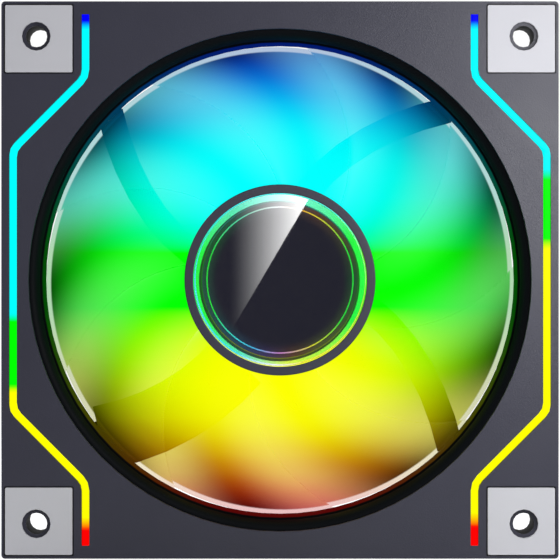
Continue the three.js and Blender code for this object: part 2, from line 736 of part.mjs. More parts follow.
// A winding on one pole neck: a rounded ring, pushed along the pole
function coil() {
  const ring = roundedRectangle(2 * COIL_HALF_WIDTH, 2 * COIL_HALF_HEIGHT, COIL_CORNER);
  const neck = roundedRectangle(COIL_HOLE_WIDTH, COIL_HOLE_HEIGHT, COIL_CORNER / 3);
  ring.holes.push(new THREE.Path(neck.getPoints(ARC_STEPS).reverse()));
  const wound = extruded(ring, COIL_INNER_RADIUS, COIL_OUTER_RADIUS);
  return wound.rotate([90, 0, 0]).rotate([0, 0, 90]);
}

function bearingTube() {
  return tube(TUBE_OUTER, TUBE_INNER, BORE_FLOOR_Z + GAP, TUBE_TOP_Z, ROUND_SMALL);
}

function sleeveBearing() {
  const bore = SHAFT_RADIUS + SHAFT_RUNNING_GAP;
  return tube(TUBE_INNER - GAP, bore, BEARING_REAR_Z, BEARING_TOP_Z, ROUND_SMALL);
}

function thrustPad() {
  return rod(TUBE_INNER - GAP, BORE_FLOOR_Z + GAP, SHAFT_REAR_Z - GAP, ROUND_SMALL);
}

// ---- rotor -----------------------------------------------------------------------------------

// How far a blade's centre line has turned clockwise at a radius, in degrees
function bladeAngle(radius) {
  const inward = BLADE_TIP_RADIUS - radius;
  return BLADE_TIP_ANGLE + BLADE_SWEEP[0] * inward + BLADE_SWEEP[1] * inward ** 2;
}

// One blade as a closed skin: u runs round its section, v from root to tip, and both ends close flat.
const BLADE_SKIN = { around: 12, along: 7 };

function bladeSkin(u, v, target) {
  const row = v * BLADE_SKIN.along;
  const closed = row < 0.5 || row > BLADE_SKIN.along - 0.5;
  const share = THREE.MathUtils.clamp((row - 1) / (BLADE_SKIN.along - 2), 0, 1);
  const radius = THREE.MathUtils.lerp(BLADE_ROOT_RADIUS, BLADE_TIP_RADIUS, share);
  const chord = (1 - Math.cos(2 * Math.PI * u)) / 2;
  const half = BLADE_HALF_ANGLE * DEGREE * radius;
  const slopeZ = BLADE_TRAIL_Z - BLADE_LEAD_Z + 4 * BLADE_CAMBER * (1 - 2 * chord);
  const length = Math.hypot(2 * half, slopeZ);
  const thickness = THREE.MathUtils.lerp(BLADE_ROOT_THICKNESS, BLADE_TIP_THICKNESS, share);
  const taper = BLADE_NOSE[0] - BLADE_NOSE[1] * chord;
  const skin = closed ? 0 : (thickness / 2) * Math.sin(2 * Math.PI * u) * taper;
  const across = half * (2 * chord - 1) + (skin * -slopeZ) / length;
  const bulge = 4 * BLADE_CAMBER * chord * (1 - chord);
  const z = THREE.MathUtils.lerp(BLADE_LEAD_Z, BLADE_TRAIL_Z, chord) + bulge + (skin * 2 * half) / length;
  const point = clockPoint(radius, bladeAngle(radius) + across / radius / DEGREE);
  target.set(point.x, point.y, z);
}

// The one-piece moulding: a cup, open to the rear, with nine swept blades
function impeller() {
  const hub = turned(
    [
      [0, HUB_WALL_REAR_Z],
      [HUB_INSIDE_RADIUS, HUB_WALL_REAR_Z],
      [HUB_INSIDE_RADIUS, HUB_REAR_Z],
      [HUB_RADIUS, HUB_REAR_Z],
      [HUB_RADIUS, HUB_RIM_Z],
      [LENS_RADIUS + GAP, HUB_RIM_Z],
      [LENS_RADIUS + GAP, HUB_WALL_FRONT_Z],
      [0, HUB_WALL_FRONT_Z],
    ],
    ROUND_MEDIUM,
  );
  const blade = solid(new ParametricGeometry(bladeSkin, BLADE_SKIN.around, BLADE_SKIN.along));
  const blades = Array.from({ length: BLADES }, (_, i) => blade.rotate([0, 0, (-360 / BLADES) * i]));
  return unionOf([hub, ...blades]);
}

// A flat grey ring that frames the mirror, chamfered at its front edges
function hubTrimRing() {
  const [inner, outer, front] = [TRIM_INNER_RADIUS, TRIM_OUTER_RADIUS, TRIM_FRONT_Z];
  return turned(
    [
      [inner, HUB_RIM_Z + GAP],
      [outer, HUB_RIM_Z + GAP],
      [outer, front - TRIM_CHAMFER],
      [outer - TRIM_CHAMFER, front],
      [inner + TRIM_CHAMFER, front],
      [inner, front - TRIM_CHAMFER],
    ],
    ROUND_MEDIUM,
  );
}

function frontMirror() {
  return rod(LENS_RADIUS, LENS_FRONT_Z - LENS_THICKNESS, LENS_FRONT_Z, ROUND_MEDIUM);
}

function lightRing() {
  const front = LENS_FRONT_Z - LENS_THICKNESS - GAP;
  return tube(LIGHT_RING_OUTER, LIGHT_RING_INNER, HUB_WALL_FRONT_Z + GAP, front, ROUND_MEDIUM);
}

function rearMirror() {
  const rear = HUB_WALL_FRONT_Z + GAP;
  return rod(MIRROR_RADIUS, rear, rear + MIRROR_THICKNESS, ROUND_MEDIUM);
}

// The pressed steel cup that closes the magnet's field
function rotorYoke() {
  const inside = YOKE_OUTER - YOKE_WALL;
  const ceiling = YOKE_TOP_Z - YOKE_WALL;
  const bore = SHAFT_RADIUS + GAP;
  return turned(
    [
      [bore, ceiling],
      [inside, ceiling],
      [inside, YOKE_REAR_Z],
      [YOKE_OUTER, YOKE_REAR_Z],
      [YOKE_OUTER, YOKE_TOP_Z],
      [bore, YOKE_TOP_Z],
    ],
    ROUND_MEDIUM,
  );
}

function ringMagnet() {
  return tube(MAGNET_OUTER, MAGNET_INNER, -MAGNET_HALF_HEIGHT, MAGNET_HALF_HEIGHT, ROUND_MEDIUM);
}

function shaftBush() {
  const front = YOKE_TOP_Z - YOKE_WALL - GAP;
  return tube(BUSH_RADIUS, SHAFT_RADIUS + GAP, front - BUSH_LENGTH, front, ROUND_SMALL);
}

// The shaft has a groove near its rear end for the clip that keeps the rotor in.
const GROOVE = { rear: -9.35, front: -8.65, radius: 1.1 };

function shaft() {
  return turned(
    [
      [0, SHAFT_REAR_Z],
      [SHAFT_RADIUS - SHAFT_CHAMFER, SHAFT_REAR_Z],
      [SHAFT_RADIUS, SHAFT_REAR_Z + SHAFT_CHAMFER],
      [SHAFT_RADIUS, GROOVE.rear],
      [GROOVE.radius, GROOVE.rear],
      [GROOVE.radius, GROOVE.front],
      [SHAFT_RADIUS, GROOVE.front],
      [SHAFT_RADIUS, SHAFT_FRONT_Z],
      [0, SHAFT_FRONT_Z],
    ],
    ROUND_SMALL,
  );
}

function shaftClip() {
  const ring = tube(CLIP_RADIUS, GROOVE.radius + GAP, GROOVE.rear + GAP, GROOVE.front - GAP, ROUND_SMALL);
  const half = CLIP_MOUTH / 2;
  return ring.subtract(block([0, -half, GROOVE.rear], [CLIP_RADIUS + PAST, half, GROOVE.front]));
}

// ---- assembly --------------------------------------------------------------------------------

const fan = new THREE.Group();

function place(name, made, material) {
  const mesh = new THREE.Mesh(geometryOf(made), material);
  mesh.name = name;
  fan.add(mesh);
}

const F = FINISHES;
place("frame_body", frameBody(), F.blackPlastic);
place("front_bezel", frontBezel(), F.greyPlastic);
place("left_light_bar", lightBar(leftBarLine), F.barPlastic);
place("right_light_bar", lightBar(barLine), F.barPlastic);
place("left_led_board", ledBoard(leftBarLine), F.board);
place("right_led_board", ledBoard(barLine), F.board);
place("led_link_cable", ledLink(), F.magnet);
for (const [sx, sy, corner] of CORNERS) {
  place(`front_pad_${corner}`, cornerPad(sx, sy, PAD_SEAT_Z + GAP, DEPTH / 2), F.padRubber);
  place(`rear_pad_${corner}`, cornerPad(sx, sy, -DEPTH / 2, -PAD_SEAT_Z - GAP), F.padRubber);
  place(`bezel_screw_${corner}`, bezelScrew().translate([sx * SCREW_AT, sy * SCREW_AT, 0]), F.steel);
}
place("left_side_cover", sideCover(-1, SOCKET.top), F.greyPlastic);
place("right_side_cover", sideCover(1, -POCKET_HALF), F.greyPlastic);
place("cable_socket", cableSocket(), F.nylon);
place("socket_board", socketBoard(), F.board);
place("side_led_lead", sideLedLead(), F.magnet);
place("motor_lead", motorLead(), F.magnet);
place("strut_cover", strutCover(), F.blackPlastic);
place("rear_label", rearLabel(), F.label);
place("motor_board", motorBoard(), F.board);
place("stator_core", statorCore(), F.steel);
place("front_insulator", insulator(), F.nylon);
place("rear_insulator", insulator().rotate([180, 0, 0]), F.nylon);
for (let i = 0; i < POLES; i++) {
  place(`coil_${i + 1}`, coil().rotate([0, 0, (360 / POLES) * i]), F.copper);
}
place("bearing_tube", bearingTube(), F.brass);
place("sleeve_bearing", sleeveBearing(), F.bronze);
place("thrust_pad", thrustPad(), F.nylon);
place("impeller", impeller(), F.bladePlastic);
place("hub_trim_ring", hubTrimRing(), F.greyPlastic);
place("front_mirror", frontMirror(), F.lens);
place("light_ring", lightRing(), F.barPlastic);
place("rear_mirror", rearMirror(), F.mirror);
place("rotor_yoke", rotorYoke(), F.steel);
place("ring_magnet", ringMagnet(), F.magnet);
place("shaft_bush", shaftBush(), F.brass);
place("shaft", shaft(), F.steel);
place("shaft_clip", shaftClip(), F.nylon);

// Stands the fan upright, with its front towards -Y.
fan.rotation.x = Math.PI / 2;

export default fan;
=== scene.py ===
# %% [markdown]
# # A lit computer fan, finished round its CAD frame
# The frame holds every piece of the fan at its true size and place. This lesson gives those pieces their
# finish: grained plastic, frosted blades lit from inside, two light bars and a dark mirror in the hub.
# Everything is in metres. X runs to the right, Y from the front to the rear, and Z up.

# %% Load the frame
import math

import bmesh
import bpy
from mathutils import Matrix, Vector


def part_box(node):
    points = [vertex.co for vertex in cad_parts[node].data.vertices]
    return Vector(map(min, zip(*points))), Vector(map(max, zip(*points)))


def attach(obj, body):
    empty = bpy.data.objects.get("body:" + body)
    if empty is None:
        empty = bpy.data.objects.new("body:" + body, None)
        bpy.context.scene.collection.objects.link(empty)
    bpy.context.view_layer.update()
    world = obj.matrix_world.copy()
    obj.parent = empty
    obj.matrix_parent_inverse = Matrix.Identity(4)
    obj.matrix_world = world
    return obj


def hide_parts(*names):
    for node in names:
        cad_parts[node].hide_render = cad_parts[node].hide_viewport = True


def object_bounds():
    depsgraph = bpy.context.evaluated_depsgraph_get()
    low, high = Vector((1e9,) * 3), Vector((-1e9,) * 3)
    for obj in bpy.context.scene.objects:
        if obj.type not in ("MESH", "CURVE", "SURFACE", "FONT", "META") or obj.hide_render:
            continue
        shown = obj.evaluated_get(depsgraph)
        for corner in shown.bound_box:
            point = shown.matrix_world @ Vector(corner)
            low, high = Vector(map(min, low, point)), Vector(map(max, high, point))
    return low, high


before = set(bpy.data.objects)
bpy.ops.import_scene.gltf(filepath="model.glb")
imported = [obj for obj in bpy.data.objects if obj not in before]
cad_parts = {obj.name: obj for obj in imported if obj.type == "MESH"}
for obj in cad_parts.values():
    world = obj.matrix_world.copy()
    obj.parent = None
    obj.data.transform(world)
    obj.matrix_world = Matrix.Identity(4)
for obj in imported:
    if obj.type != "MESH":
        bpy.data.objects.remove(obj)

MM = 0.001
FULL_TURN = 2 * math.pi
cad_low, cad_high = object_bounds()
slot_of = {name: node.data.materials[0].name for name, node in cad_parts.items()}
print("CAD box, mm:", [round(v / MM, 2) for v in (*cad_low, *cad_high)])

# %% [markdown]
# ## The room, the camera and the lights
# A product shot of a small flat object is made with a long lens from far away, so that the square stays
# square. The room is white, but it lights the fan with less than its own brightness, as a room with dark
# walls beside the camera would. A soft lamp close to the right-hand side makes the face grow brighter
# towards that side.

# %% Camera
CAMERA_DISTANCE = 1.2  # from the front face
FACE_WIDTH_SEEN = 120.53 * MM
SENSOR = 36.0

camera_data = bpy.data.cameras.new("camera")
camera_data.sensor_width = SENSOR
camera_data.lens = SENSOR * CAMERA_DISTANCE / FACE_WIDTH_SEEN
camera_data.clip_end = 50
camera = bpy.data.objects.new("camera", camera_data)
camera.location = (0, cad_low.y - CAMERA_DISTANCE, 0)
camera.rotation_euler = (math.pi / 2, 0, 0)
bpy.context.collection.objects.link(camera)
bpy.context.scene.camera = camera
bpy.context.scene.view_settings.view_transform = "Standard"
print("lens, mm:", round(camera_data.lens, 1))

# %% A helper that adds a node, sets it and wires it
def add(tree, kind, inputs=None, **settings):
    """Adds a node. A value in inputs is either a number or colour to set, or a socket to wire in."""
    made = tree.nodes.new(kind)
    for name, value in settings.items():
        setattr(made, name, value)
    for name, value in (inputs or {}).items():
        if isinstance(value, bpy.types.NodeSocket):
            tree.links.new(value, made.inputs[name])
        else:
            made.inputs[name].default_value = value
    return made


def tree_of(*values):
    return next(value.id_data for value in values if isinstance(value, bpy.types.NodeSocket))


def maths(operation, first, second, clamp=False):
    """One sum on numbers or sockets, in the tree that the sockets belong to."""
    made = add(tree_of(first, second), "ShaderNodeMath", {0: first, 1: second}, operation=operation)
    made.use_clamp = clamp
    return made.outputs[0]


def vectors(operation, first, second):
    """The same for colours and directions. SCALE takes a number second."""
    inputs = {0: first, "Scale": second} if operation == "SCALE" else {0: first, 1: second}
    return add(tree_of(first, second), "ShaderNodeVectorMath", inputs, operation=operation).outputs[0]


def between(source, start, end, first=0.0, last=1.0):
    """Goes evenly from first to last as source goes from start to end, and stays there on either side."""
    inputs = {0: source, 1: start, 2: end, 3: first, 4: last}
    return add(tree_of(source), "ShaderNodeMapRange", inputs).outputs[0]


def mixed(share, first, second):
    """The first colour where share is 0, and the second where it is 1."""
    return add(tree_of(share), "ShaderNodeMix", {0: share, 6: first, 7: second}, data_type="RGBA").outputs[2]


def object_place(tree):
    return add(tree, "ShaderNodeTexCoord").outputs["Object"]


def room_axes(tree):
    """X, Y and Z of a point in the room, which don't turn with the rotor."""
    where = add(tree, "ShaderNodeNewGeometry").outputs["Position"]
    return add(tree, "ShaderNodeSeparateXYZ", {0: where}).outputs


def covers(tree, shader):
    """Makes a shader the surface of the material."""
    add(tree, "ShaderNodeOutputMaterial", {"Surface": shader.outputs[0]})


# %% The white room
ROOM_WHITE = (1.0, 1.0, 1.0, 1)
ROOM_SEEN = 1.0
ROOM_LIGHT = 0.42

world = bpy.data.worlds.new("white_room")
bpy.context.scene.world = world
world.use_nodes = True
world.node_tree.nodes.clear()
room_light = add(world.node_tree, "ShaderNodeBackground", {"Color": ROOM_WHITE, "Strength": ROOM_LIGHT})
room_seen = add(world.node_tree, "ShaderNodeBackground", {"Color": ROOM_WHITE, "Strength": ROOM_SEEN})
path = add(world.node_tree, "ShaderNodeLightPath")
which = add(
    world.node_tree,
    "ShaderNodeMixShader",
    {0: path.outputs["Is Camera Ray"], 1: room_light.outputs[0], 2: room_seen.outputs[0]},
)
add(world.node_tree, "ShaderNodeOutputWorld", {"Surface": which.outputs[0]})

# %% Lamps
def soft_lamp(name, place, target, size, power):
    data = bpy.data.lights.new(name, "AREA")
    data.shape = "DISK"
    data.size = size
    data.energy = power
    lamp = bpy.data.objects.new(name, data)
    lamp.location = place
    lamp.rotation_euler = (Vector(target) - Vector(place)).to_track_quat("-Z", "Y").to_euler()
    lamp.visible_camera = False
    bpy.context.collection.objects.link(lamp)


soft_lamp("right_lamp", place=(0.09, -0.15, 0.038), target=(0.05, 0, 0.02), size=0.09, power=0.155)
soft_lamp("rear_lamp", place=(-0.45, 0.6, 0.45), target=(0, 0, 0), size=0.35, power=3.0)

# %% The floor
FLOOR_COLOR = (0.85, 0.85, 0.86, 1)
FLOOR_GRAIN = 4 * MM
FLOOR_RELIEF = 0.2 * MM
FLOOR_LIFT = 0.72  # how much paler the floor looks than the room lights it

floor_material = bpy.data.materials.new("pale_floor")
floor_material.use_nodes = True
tree = floor_material.node_tree
tree.nodes.clear()
floor_grain = add(tree, "ShaderNodeTexNoise", {"Vector": object_place(tree), "Scale": 1 / FLOOR_GRAIN})
floor_inputs = {"Height": floor_grain.outputs[0], "Strength": 0.05, "Distance": FLOOR_RELIEF}
floor_bump = add(tree, "ShaderNodeBump", floor_inputs)
floor_seen = maths("MULTIPLY", add(tree, "ShaderNodeLightPath").outputs["Is Camera Ray"], FLOOR_LIFT)
floor_finish = add(
    tree,
    "ShaderNodeBsdfPrincipled",
    {
        "Base Color": FLOOR_COLOR,
        "Roughness": 0.6,
        "Normal": floor_bump.outputs[0],
        "Emission Color": FLOOR_COLOR,
        "Emission Strength": floor_seen,
    },
)
covers(tree, floor_finish)


def flat_sheet(name, corners, material):
    """A stage piece with one face, such as the floor."""
    mesh = bpy.data.meshes.new(name)
    mesh.from_pydata(corners, [], [tuple(range(len(corners)))])
    mesh.materials.append(material)
    sheet = bpy.data.objects.new(name, mesh)
    bpy.context.collection.objects.link(sheet)
    return sheet


FLOOR_REACH = 3.0
FLOOR_GAP = 0.02 * MM  # keeps the fan's underside from lying in the floor
floor_z = cad_low.z - FLOOR_GAP
flat_sheet(
    "floor",
    [(-FLOOR_REACH, -FLOOR_REACH, floor_z), (FLOOR_REACH, -FLOOR_REACH, floor_z),
     (FLOOR_REACH, FLOOR_REACH, floor_z), (-FLOOR_REACH, FLOOR_REACH, floor_z)],
    floor_material,
)

# %% [markdown]
# ## The card that the mirror shows
# The hub's mirror is flat, so what it shows is whatever stands in front of the fan. A photographer puts a
# dark card there, and lights a part of it that is cut off along a slanting edge and grows brighter towards
# that edge. The card here is seen only in reflections and casts no shadow, so it changes nothing but the
# gloss.

# %% Reflector card
CARD_DISTANCE = 0.6  # from the mirror, half-way to the camera
CARD_SPREAD = 1 + CARD_DISTANCE / CAMERA_DISTANCE  # how much further out the card lies than the mirror
CARD_HALF = 24 * MM  # all that the mirror shows, in the mirror's own size
EDGE_LOW = Vector((-12.8, -14.5)) * MM  # two points on the mirror that the slanting edge runs through
EDGE_HIGH = Vector((6.9, 19.0)) * MM
CARD_DARK = -11.5 * MM  # where the lit part starts, and where it is at its brightest
CARD_BRIGHT = 4.5 * MM
CARD_BASE = 0.04  # brightness of its dark part, and of its lit part at its brightest
CARD_GLOW = 6.0
CARD_CURVE = 1.8  # how late the lit part grows bright

mirror_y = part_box("front_mirror")[0].y
card_material = bpy.data.materials.new("reflector_card")
card_material.use_nodes = True
tree = card_material.node_tree
tree.nodes.clear()
card_place = object_place(tree)
card_x = add(tree, "ShaderNodeSeparateXYZ", {0: card_place}).outputs["X"]
card_share = between(card_x, CARD_DARK * CARD_SPREAD, CARD_BRIGHT * CARD_SPREAD)
edge_along = (EDGE_HIGH - EDGE_LOW).normalized()
edge_left = Vector((-edge_along.y, edge_along.x))
card_left = add(
    tree, "ShaderNodeVectorMath", {0: card_place, 1: (edge_left.x, 0, edge_left.y)}, operation="DOT_PRODUCT"
).outputs["Value"]
in_light = maths("GREATER_THAN", card_left, EDGE_LOW.dot(edge_left) * CARD_SPREAD)
card_glow = maths("MULTIPLY", maths("MULTIPLY", maths("POWER", card_share, CARD_CURVE), CARD_GLOW), in_light)
card_light = add(tree, "ShaderNodeEmission", {"Strength": maths("ADD", card_glow, CARD_BASE)})
covers(tree, card_light)


def on_card(x, z):
    return (x * CARD_SPREAD, mirror_y - CARD_DISTANCE, z * CARD_SPREAD)


card = flat_sheet(
    "reflector_card",
    [on_card(-CARD_HALF, -CARD_HALF), on_card(CARD_HALF, -CARD_HALF), on_card(CARD_HALF, CARD_HALF),
     on_card(-CARD_HALF, CARD_HALF)],
    card_material,
)
card.visible_camera = False
card.visible_diffuse = False
card.visible_shadow = False
card.visible_transmission = False

# %% [markdown]
# ## Effects that several finishes share
# Moulded plastic is never one flat colour: the mould leaves a fine grain, the melt leaves faint clouds, and
# handling polishes the edges. The same edge mask also paints near-black shade along the grey plastic's
# edges. Each effect is a node group, so that every material sets its own amounts.

# %% A helper for node groups
def new_group(name, takes, gives):
    """A shader node group with named sockets. takes is (name, kind, value) and gives is (name, kind)."""
    group = bpy.data.node_groups.new(name, "ShaderNodeTree")
    for label, kind, value in takes:
        socket = group.interface.new_socket(name=label, in_out="INPUT", socket_type="NodeSocket" + kind)
        socket.default_value = value
    for label, kind in gives:
        group.interface.new_socket(name=label, in_out="OUTPUT", socket_type="NodeSocket" + kind)
    return group, add(group, "NodeGroupInput")


def use_group(tree, group, **amounts):
    made = add(tree, "ShaderNodeGroup", node_tree=group)
    for name, value in amounts.items():
        made.inputs[name.replace("_", " ")].default_value = value
    return made


# %% Grain: a fine pebble texture with broad, faint clouds in the colour
grain_group, taken = new_group(
    "moulded_grain",
    [("Grain Size", "Float", 0.2), ("Cloud Size", "Float", 12.0), ("Clouding", "Float", 0.1)],
    [("Height", "Float"), ("Shade", "Float"), ("Roughness Shift", "Float")],
)
place = object_place(grain_group)
fine = maths("DIVIDE", 1 / MM, taken.outputs["Grain Size"])
broad = maths("DIVIDE", 1 / MM, taken.outputs["Cloud Size"])
pebble_inputs = {"Vector": place, "Scale": fine, "Detail": 3.0, "Roughness": 0.65}
pebbles = add(grain_group, "ShaderNodeTexNoise", pebble_inputs).outputs[0]
cloud_inputs = {"Vector": place, "Scale": broad, "Detail": 4.0, "Roughness": 0.55}
clouds = add(grain_group, "ShaderNodeTexNoise", cloud_inputs).outputs[0]
centred = maths("SUBTRACT", maths("ADD", pebbles, clouds), 1.0)
swing = maths("MULTIPLY", centred, taken.outputs["Clouding"])
shade = maths("ADD", swing, 1.0)
add(grain_group, "NodeGroupOutput", {"Height": pebbles, "Shade": shade, "Roughness Shift": swing})

# %% Edge wear and painted edge shade: where a rounded-off surface would turn, the real edge is rubbed lighter, and on the grey plastic it is painted near-black as shade
wear_and_shade_group, taken = new_group(
    "edge_wear_and_shade",
    [("Width", "Float", 0.3), ("Patch Size", "Float", 3.0)],
    [("Mask", "Float")],
)
WEAR_AND_SHADE_BEGINS, WEAR_AND_SHADE_FULL = 0.98, 0.75  # how well the rounded-off and the true directions agree
reach = maths("MULTIPLY", taken.outputs["Width"], MM)
# the same mask gives real rubbed wear, and on the grey plastic a painted near-black edge shade
rounded_off = add(wear_and_shade_group, "ShaderNodeBevel", {"Radius": reach}, samples=4)
facing = add(wear_and_shade_group, "ShaderNodeNewGeometry").outputs["Normal"]
agree_inputs = {0: rounded_off.outputs[0], 1: facing}
agree = add(wear_and_shade_group, "ShaderNodeVectorMath", agree_inputs, operation="DOT_PRODUCT").outputs["Value"]
turned_away = between(agree, WEAR_AND_SHADE_BEGINS, WEAR_AND_SHADE_FULL)
patch = maths("DIVIDE", 1 / MM, taken.outputs["Patch Size"])
patches = add(wear_and_shade_group, "ShaderNodeTexNoise", {"Vector": object_place(wear_and_shade_group), "Scale": patch})
kept = between(patches.outputs[0], 0.35, 0.65, 0.2, 1.0)
add(wear_and_shade_group, "NodeGroupOutput", {"Mask": maths("MULTIPLY", turned_away, kept)})

# %% [markdown]
# ## The light's colours
# Three sets of lamps light the plastic: red ones low down, green ones in the middle and blue ones at the
# top. Where two sets overlap, the plastic turns yellow or cyan. Light that spreads through milky plastic
# fades by a share of itself with every millimetre, so a colour's strength works like a depth of mist: two
# mists in a row multiply what they leave dark. The ramp therefore holds what one unit of mist leaves dark,
# and a power of it gives any amount. The bands follow a point's height in the room, because the lamps stand
# still while the blades turn.

# %% Strength of the red, green and blue lamps by height
BAND_TOP = 50  # mm above and below the axis
BAND_STEP = 4
LAMPS = {  # each set of lamps grows and fades along straight lines between a few (height in mm, strength)
    "red": [(-50, 5), (-30, 3), (-18, 1), (-12, 0.3), (-6, 0)],
    "green": [(-48, 0), (-30, 3), (-10, 4), (25, 4), (50, 0.5)],
    "blue": [(6, 0), (12, 0.4), (20, 2), (50, 9)],
}


def lamp_strength(corners, height):
    """The strength at a height, on the straight line between the corners on either side of it."""
    if height <= corners[0][0]:
        return corners[0][1]
    for (low, first), (high, last) in zip(corners, corners[1:]):
        if height <= high:
            return first + (last - first) * (height - low) / (high - low)
    return corners[-1][1]


def colour_ramp(tree, source, stops):
    """A ramp whose stops are (place from 0 to 1, colour)."""
    made = add(tree, "ShaderNodeValToRGB", {0: source})
    ramp = made.color_ramp
    while len(ramp.elements) > 1:
        ramp.elements.remove(ramp.elements[-1])
    for index, (where, colour) in enumerate(stops):
        element = ramp.elements[0] if index == 0 else ramp.elements.new(where)
        element.position = where
        element.color = (*colour, 1)
    return made.outputs[0]


def band_share(tree):
    """The height of a point, from 0 at the bottom band to 1 at the top one."""
    return between(room_axes(tree)["Z"], -BAND_TOP * MM, BAND_TOP * MM)


left_dark = []
for height in range(-BAND_TOP, BAND_TOP + 1, BAND_STEP):
    dark = tuple(math.exp(-lamp_strength(corners, height)) for corners in LAMPS.values())
    left_dark.append(((height + BAND_TOP) / (2 * BAND_TOP), dark))
bands_group, taken = new_group(
    "light_bands", [("Strength", "Float", 1.0)], [("Color", "Color"), ("Dark Share", "Color")]
)
bands = colour_ramp(bands_group, band_share(bands_group), left_dark)
dark_share = add(bands_group, "ShaderNodeGamma", {0: bands, 1: taken.outputs["Strength"]}).outputs[0]
lit_share = vectors("SUBTRACT", (1, 1, 1), dark_share)
add(bands_group, "NodeGroupOutput", {"Color": lit_share, "Dark Share": dark_share})

# %% [markdown]
# ## Finishes
# Each finish is one material made from its own numbers and the shared effects. The names of the slots come
# from the record, so every CAD piece finds its finish, and the pieces that are remodelled below take the
# same ones.

# %% A helper that starts an empty material
def new_material(name):
    material = bpy.data.materials.new(name + "_finish")
    material.use_nodes = True
    material.node_tree.nodes.clear()
    return material, material.node_tree


def relief_of(texture, depth, strength=1.0):
    """Turns the grain's height, in mm, into a bumpy surface."""
    inputs = {"Height": texture.outputs["Height"], "Strength": strength, "Distance": depth * MM}
    return add(texture.id_data, "ShaderNodeBump", inputs).outputs[0]


# %% A moulded or rolled finish, with grain, clouds and worn edges
def solid_finish(
    name, colour, roughness, grain, depth, clouding, wear_and_edge_shade, metallic=0.0, gloss=0.5, worn_and_shade_colour=(0.4, 0.4, 0.42)
):
    """grain and depth are in mm. The edge amount is how strongly the edges are pulled towards the edge colour:
    a lighter colour stands for rubbed wear, and a near-black one paints shade along the edges.
    """
    material, tree = new_material(name)
    texture = use_group(tree, grain_group, Grain_Size=grain, Clouding=clouding)
    tint = vectors("SCALE", colour, texture.outputs["Shade"])
    # edges pulled towards the edge colour: rubbed wear, and on the grey plastic painted shade
    amount = maths("MULTIPLY", use_group(tree, wear_and_shade_group).outputs["Mask"], wear_and_edge_shade)
    skin = add(
        tree,
        "ShaderNodeBsdfPrincipled",
        {
            "Base Color": mixed(amount, tint, (*worn_and_shade_colour, 1)),
            "Roughness": maths("ADD", texture.outputs["Roughness Shift"], roughness),
            "Metallic": metallic,
            "Specular IOR Level": gloss,
            "Normal": relief_of(texture, depth),
        },
    )
    covers(tree, skin)
    return material


FINISHES = {
    # the grey plastic's edges go near-black: painted shade along the bezel's rounded edges
    "grey_plastic": solid_finish(
        "grey_plastic", (0.031, 0.031, 0.055), 0.40, 0.30, 0.026, 0.14, 0.85,
        gloss=0.55, worn_and_shade_colour=(0.004, 0.004, 0.006),
    ),
    "black_plastic": solid_finish(
        "black_plastic", (0.0022, 0.0032, 0.0048), 0.50, 0.30, 0.006, 0.10, 0.02, gloss=0.06
    ),
    "pad_rubber": solid_finish(
        "pad_rubber", (0.66, 0.66, 0.71), 0.75, 0.16, 0.010, 0.05, 0.10, gloss=0.25, worn_and_shade_colour=(0.35, 0.35, 0.38)
    ),
    "circuit_board": solid_finish("circuit_board", (0.012, 0.045, 0.022), 0.35, 0.6, 0.010, 0.15, 0.05),
    "black_lead": solid_finish("black_lead", (0.010, 0.010, 0.011), 0.45, 0.4, 0.008, 0.10, 0.05),
    "steel": solid_finish("steel", (0.52, 0.52, 0.54), 0.32, 0.25, 0.004, 0.10, 0.2, metallic=1.0),
    "brass": solid_finish("brass", (0.62, 0.44, 0.18), 0.28, 0.25, 0.003, 0.10, 0.2, metallic=1.0),
    "bronze": solid_finish("bronze", (0.34, 0.20, 0.09), 0.45, 0.12, 0.010, 0.15, 0.1, metallic=1.0),
    "copper": solid_finish("copper", (0.62, 0.25, 0.10), 0.30, 0.20, 0.020, 0.15, 0.1, metallic=1.0),
    "magnet": solid_finish("magnet", (0.028, 0.027, 0.029), 0.60, 0.15, 0.012, 0.15, 0.1),
    "nylon": solid_finish("nylon", (0.70, 0.68, 0.61), 0.42, 0.35, 0.006, 0.05, 0.05),
    "label_film": solid_finish("label_film", (0.016, 0.016, 0.020), 0.25, 0.50, 0.003, 0.08, 0.05),
    "mirror_film": solid_finish(
        "mirror_film", (0.55, 0.56, 0.60), 0.06, 1.5, 0.001, 0.03, 0.0, metallic=1.0
    ),
}
print("solid finishes:", len(FINISHES))

# %% [markdown]
# ## Plastic that catches the lamps' light
# The frame is one black moulding, but the lamps shine onto the duct's wall right beside the blades and onto
# the fronts of the struts behind them. There the black carries a dim, deep tint of the same bands. These
# faces get a second finish: the black plastic with the bands added as a faint glow, and without the gloss
# that a grazing view would give it.

# %% Black plastic under the lamps
LAMP_SPILL = 0.018
SPILL_END = -5.5 * MM  # how far forward the lamps reach along the duct's wall
SPILL_FULL = -2.0 * MM
SHADED_BLACK = (0.0035, 0.0042, 0.0055)

lit_black, tree = new_material("lit_black_plastic")
texture = use_group(tree, grain_group, Grain_Size=0.3, Clouding=0.15)
bands = use_group(tree, bands_group, Strength=LAMP_SPILL)
in_reach = between(room_axes(tree)["Y"], SPILL_END, SPILL_FULL)
spilled = vectors("SCALE", bands.outputs["Color"], maths("MULTIPLY", texture.outputs["Shade"], in_reach))
lit_black_skin = add(
    tree,
    "ShaderNodeBsdfPrincipled",
    {
        "Base Color": vectors("SCALE", SHADED_BLACK, texture.outputs["Shade"]),
        "Roughness": maths("ADD", texture.outputs["Roughness Shift"], 0.6),
        "Specular IOR Level": 0.0,
        "Emission Color": spilled,
        "Emission Strength": 1.0,
        "Normal": relief_of(texture, 0.006),
    },
)
covers(tree, lit_black_skin)

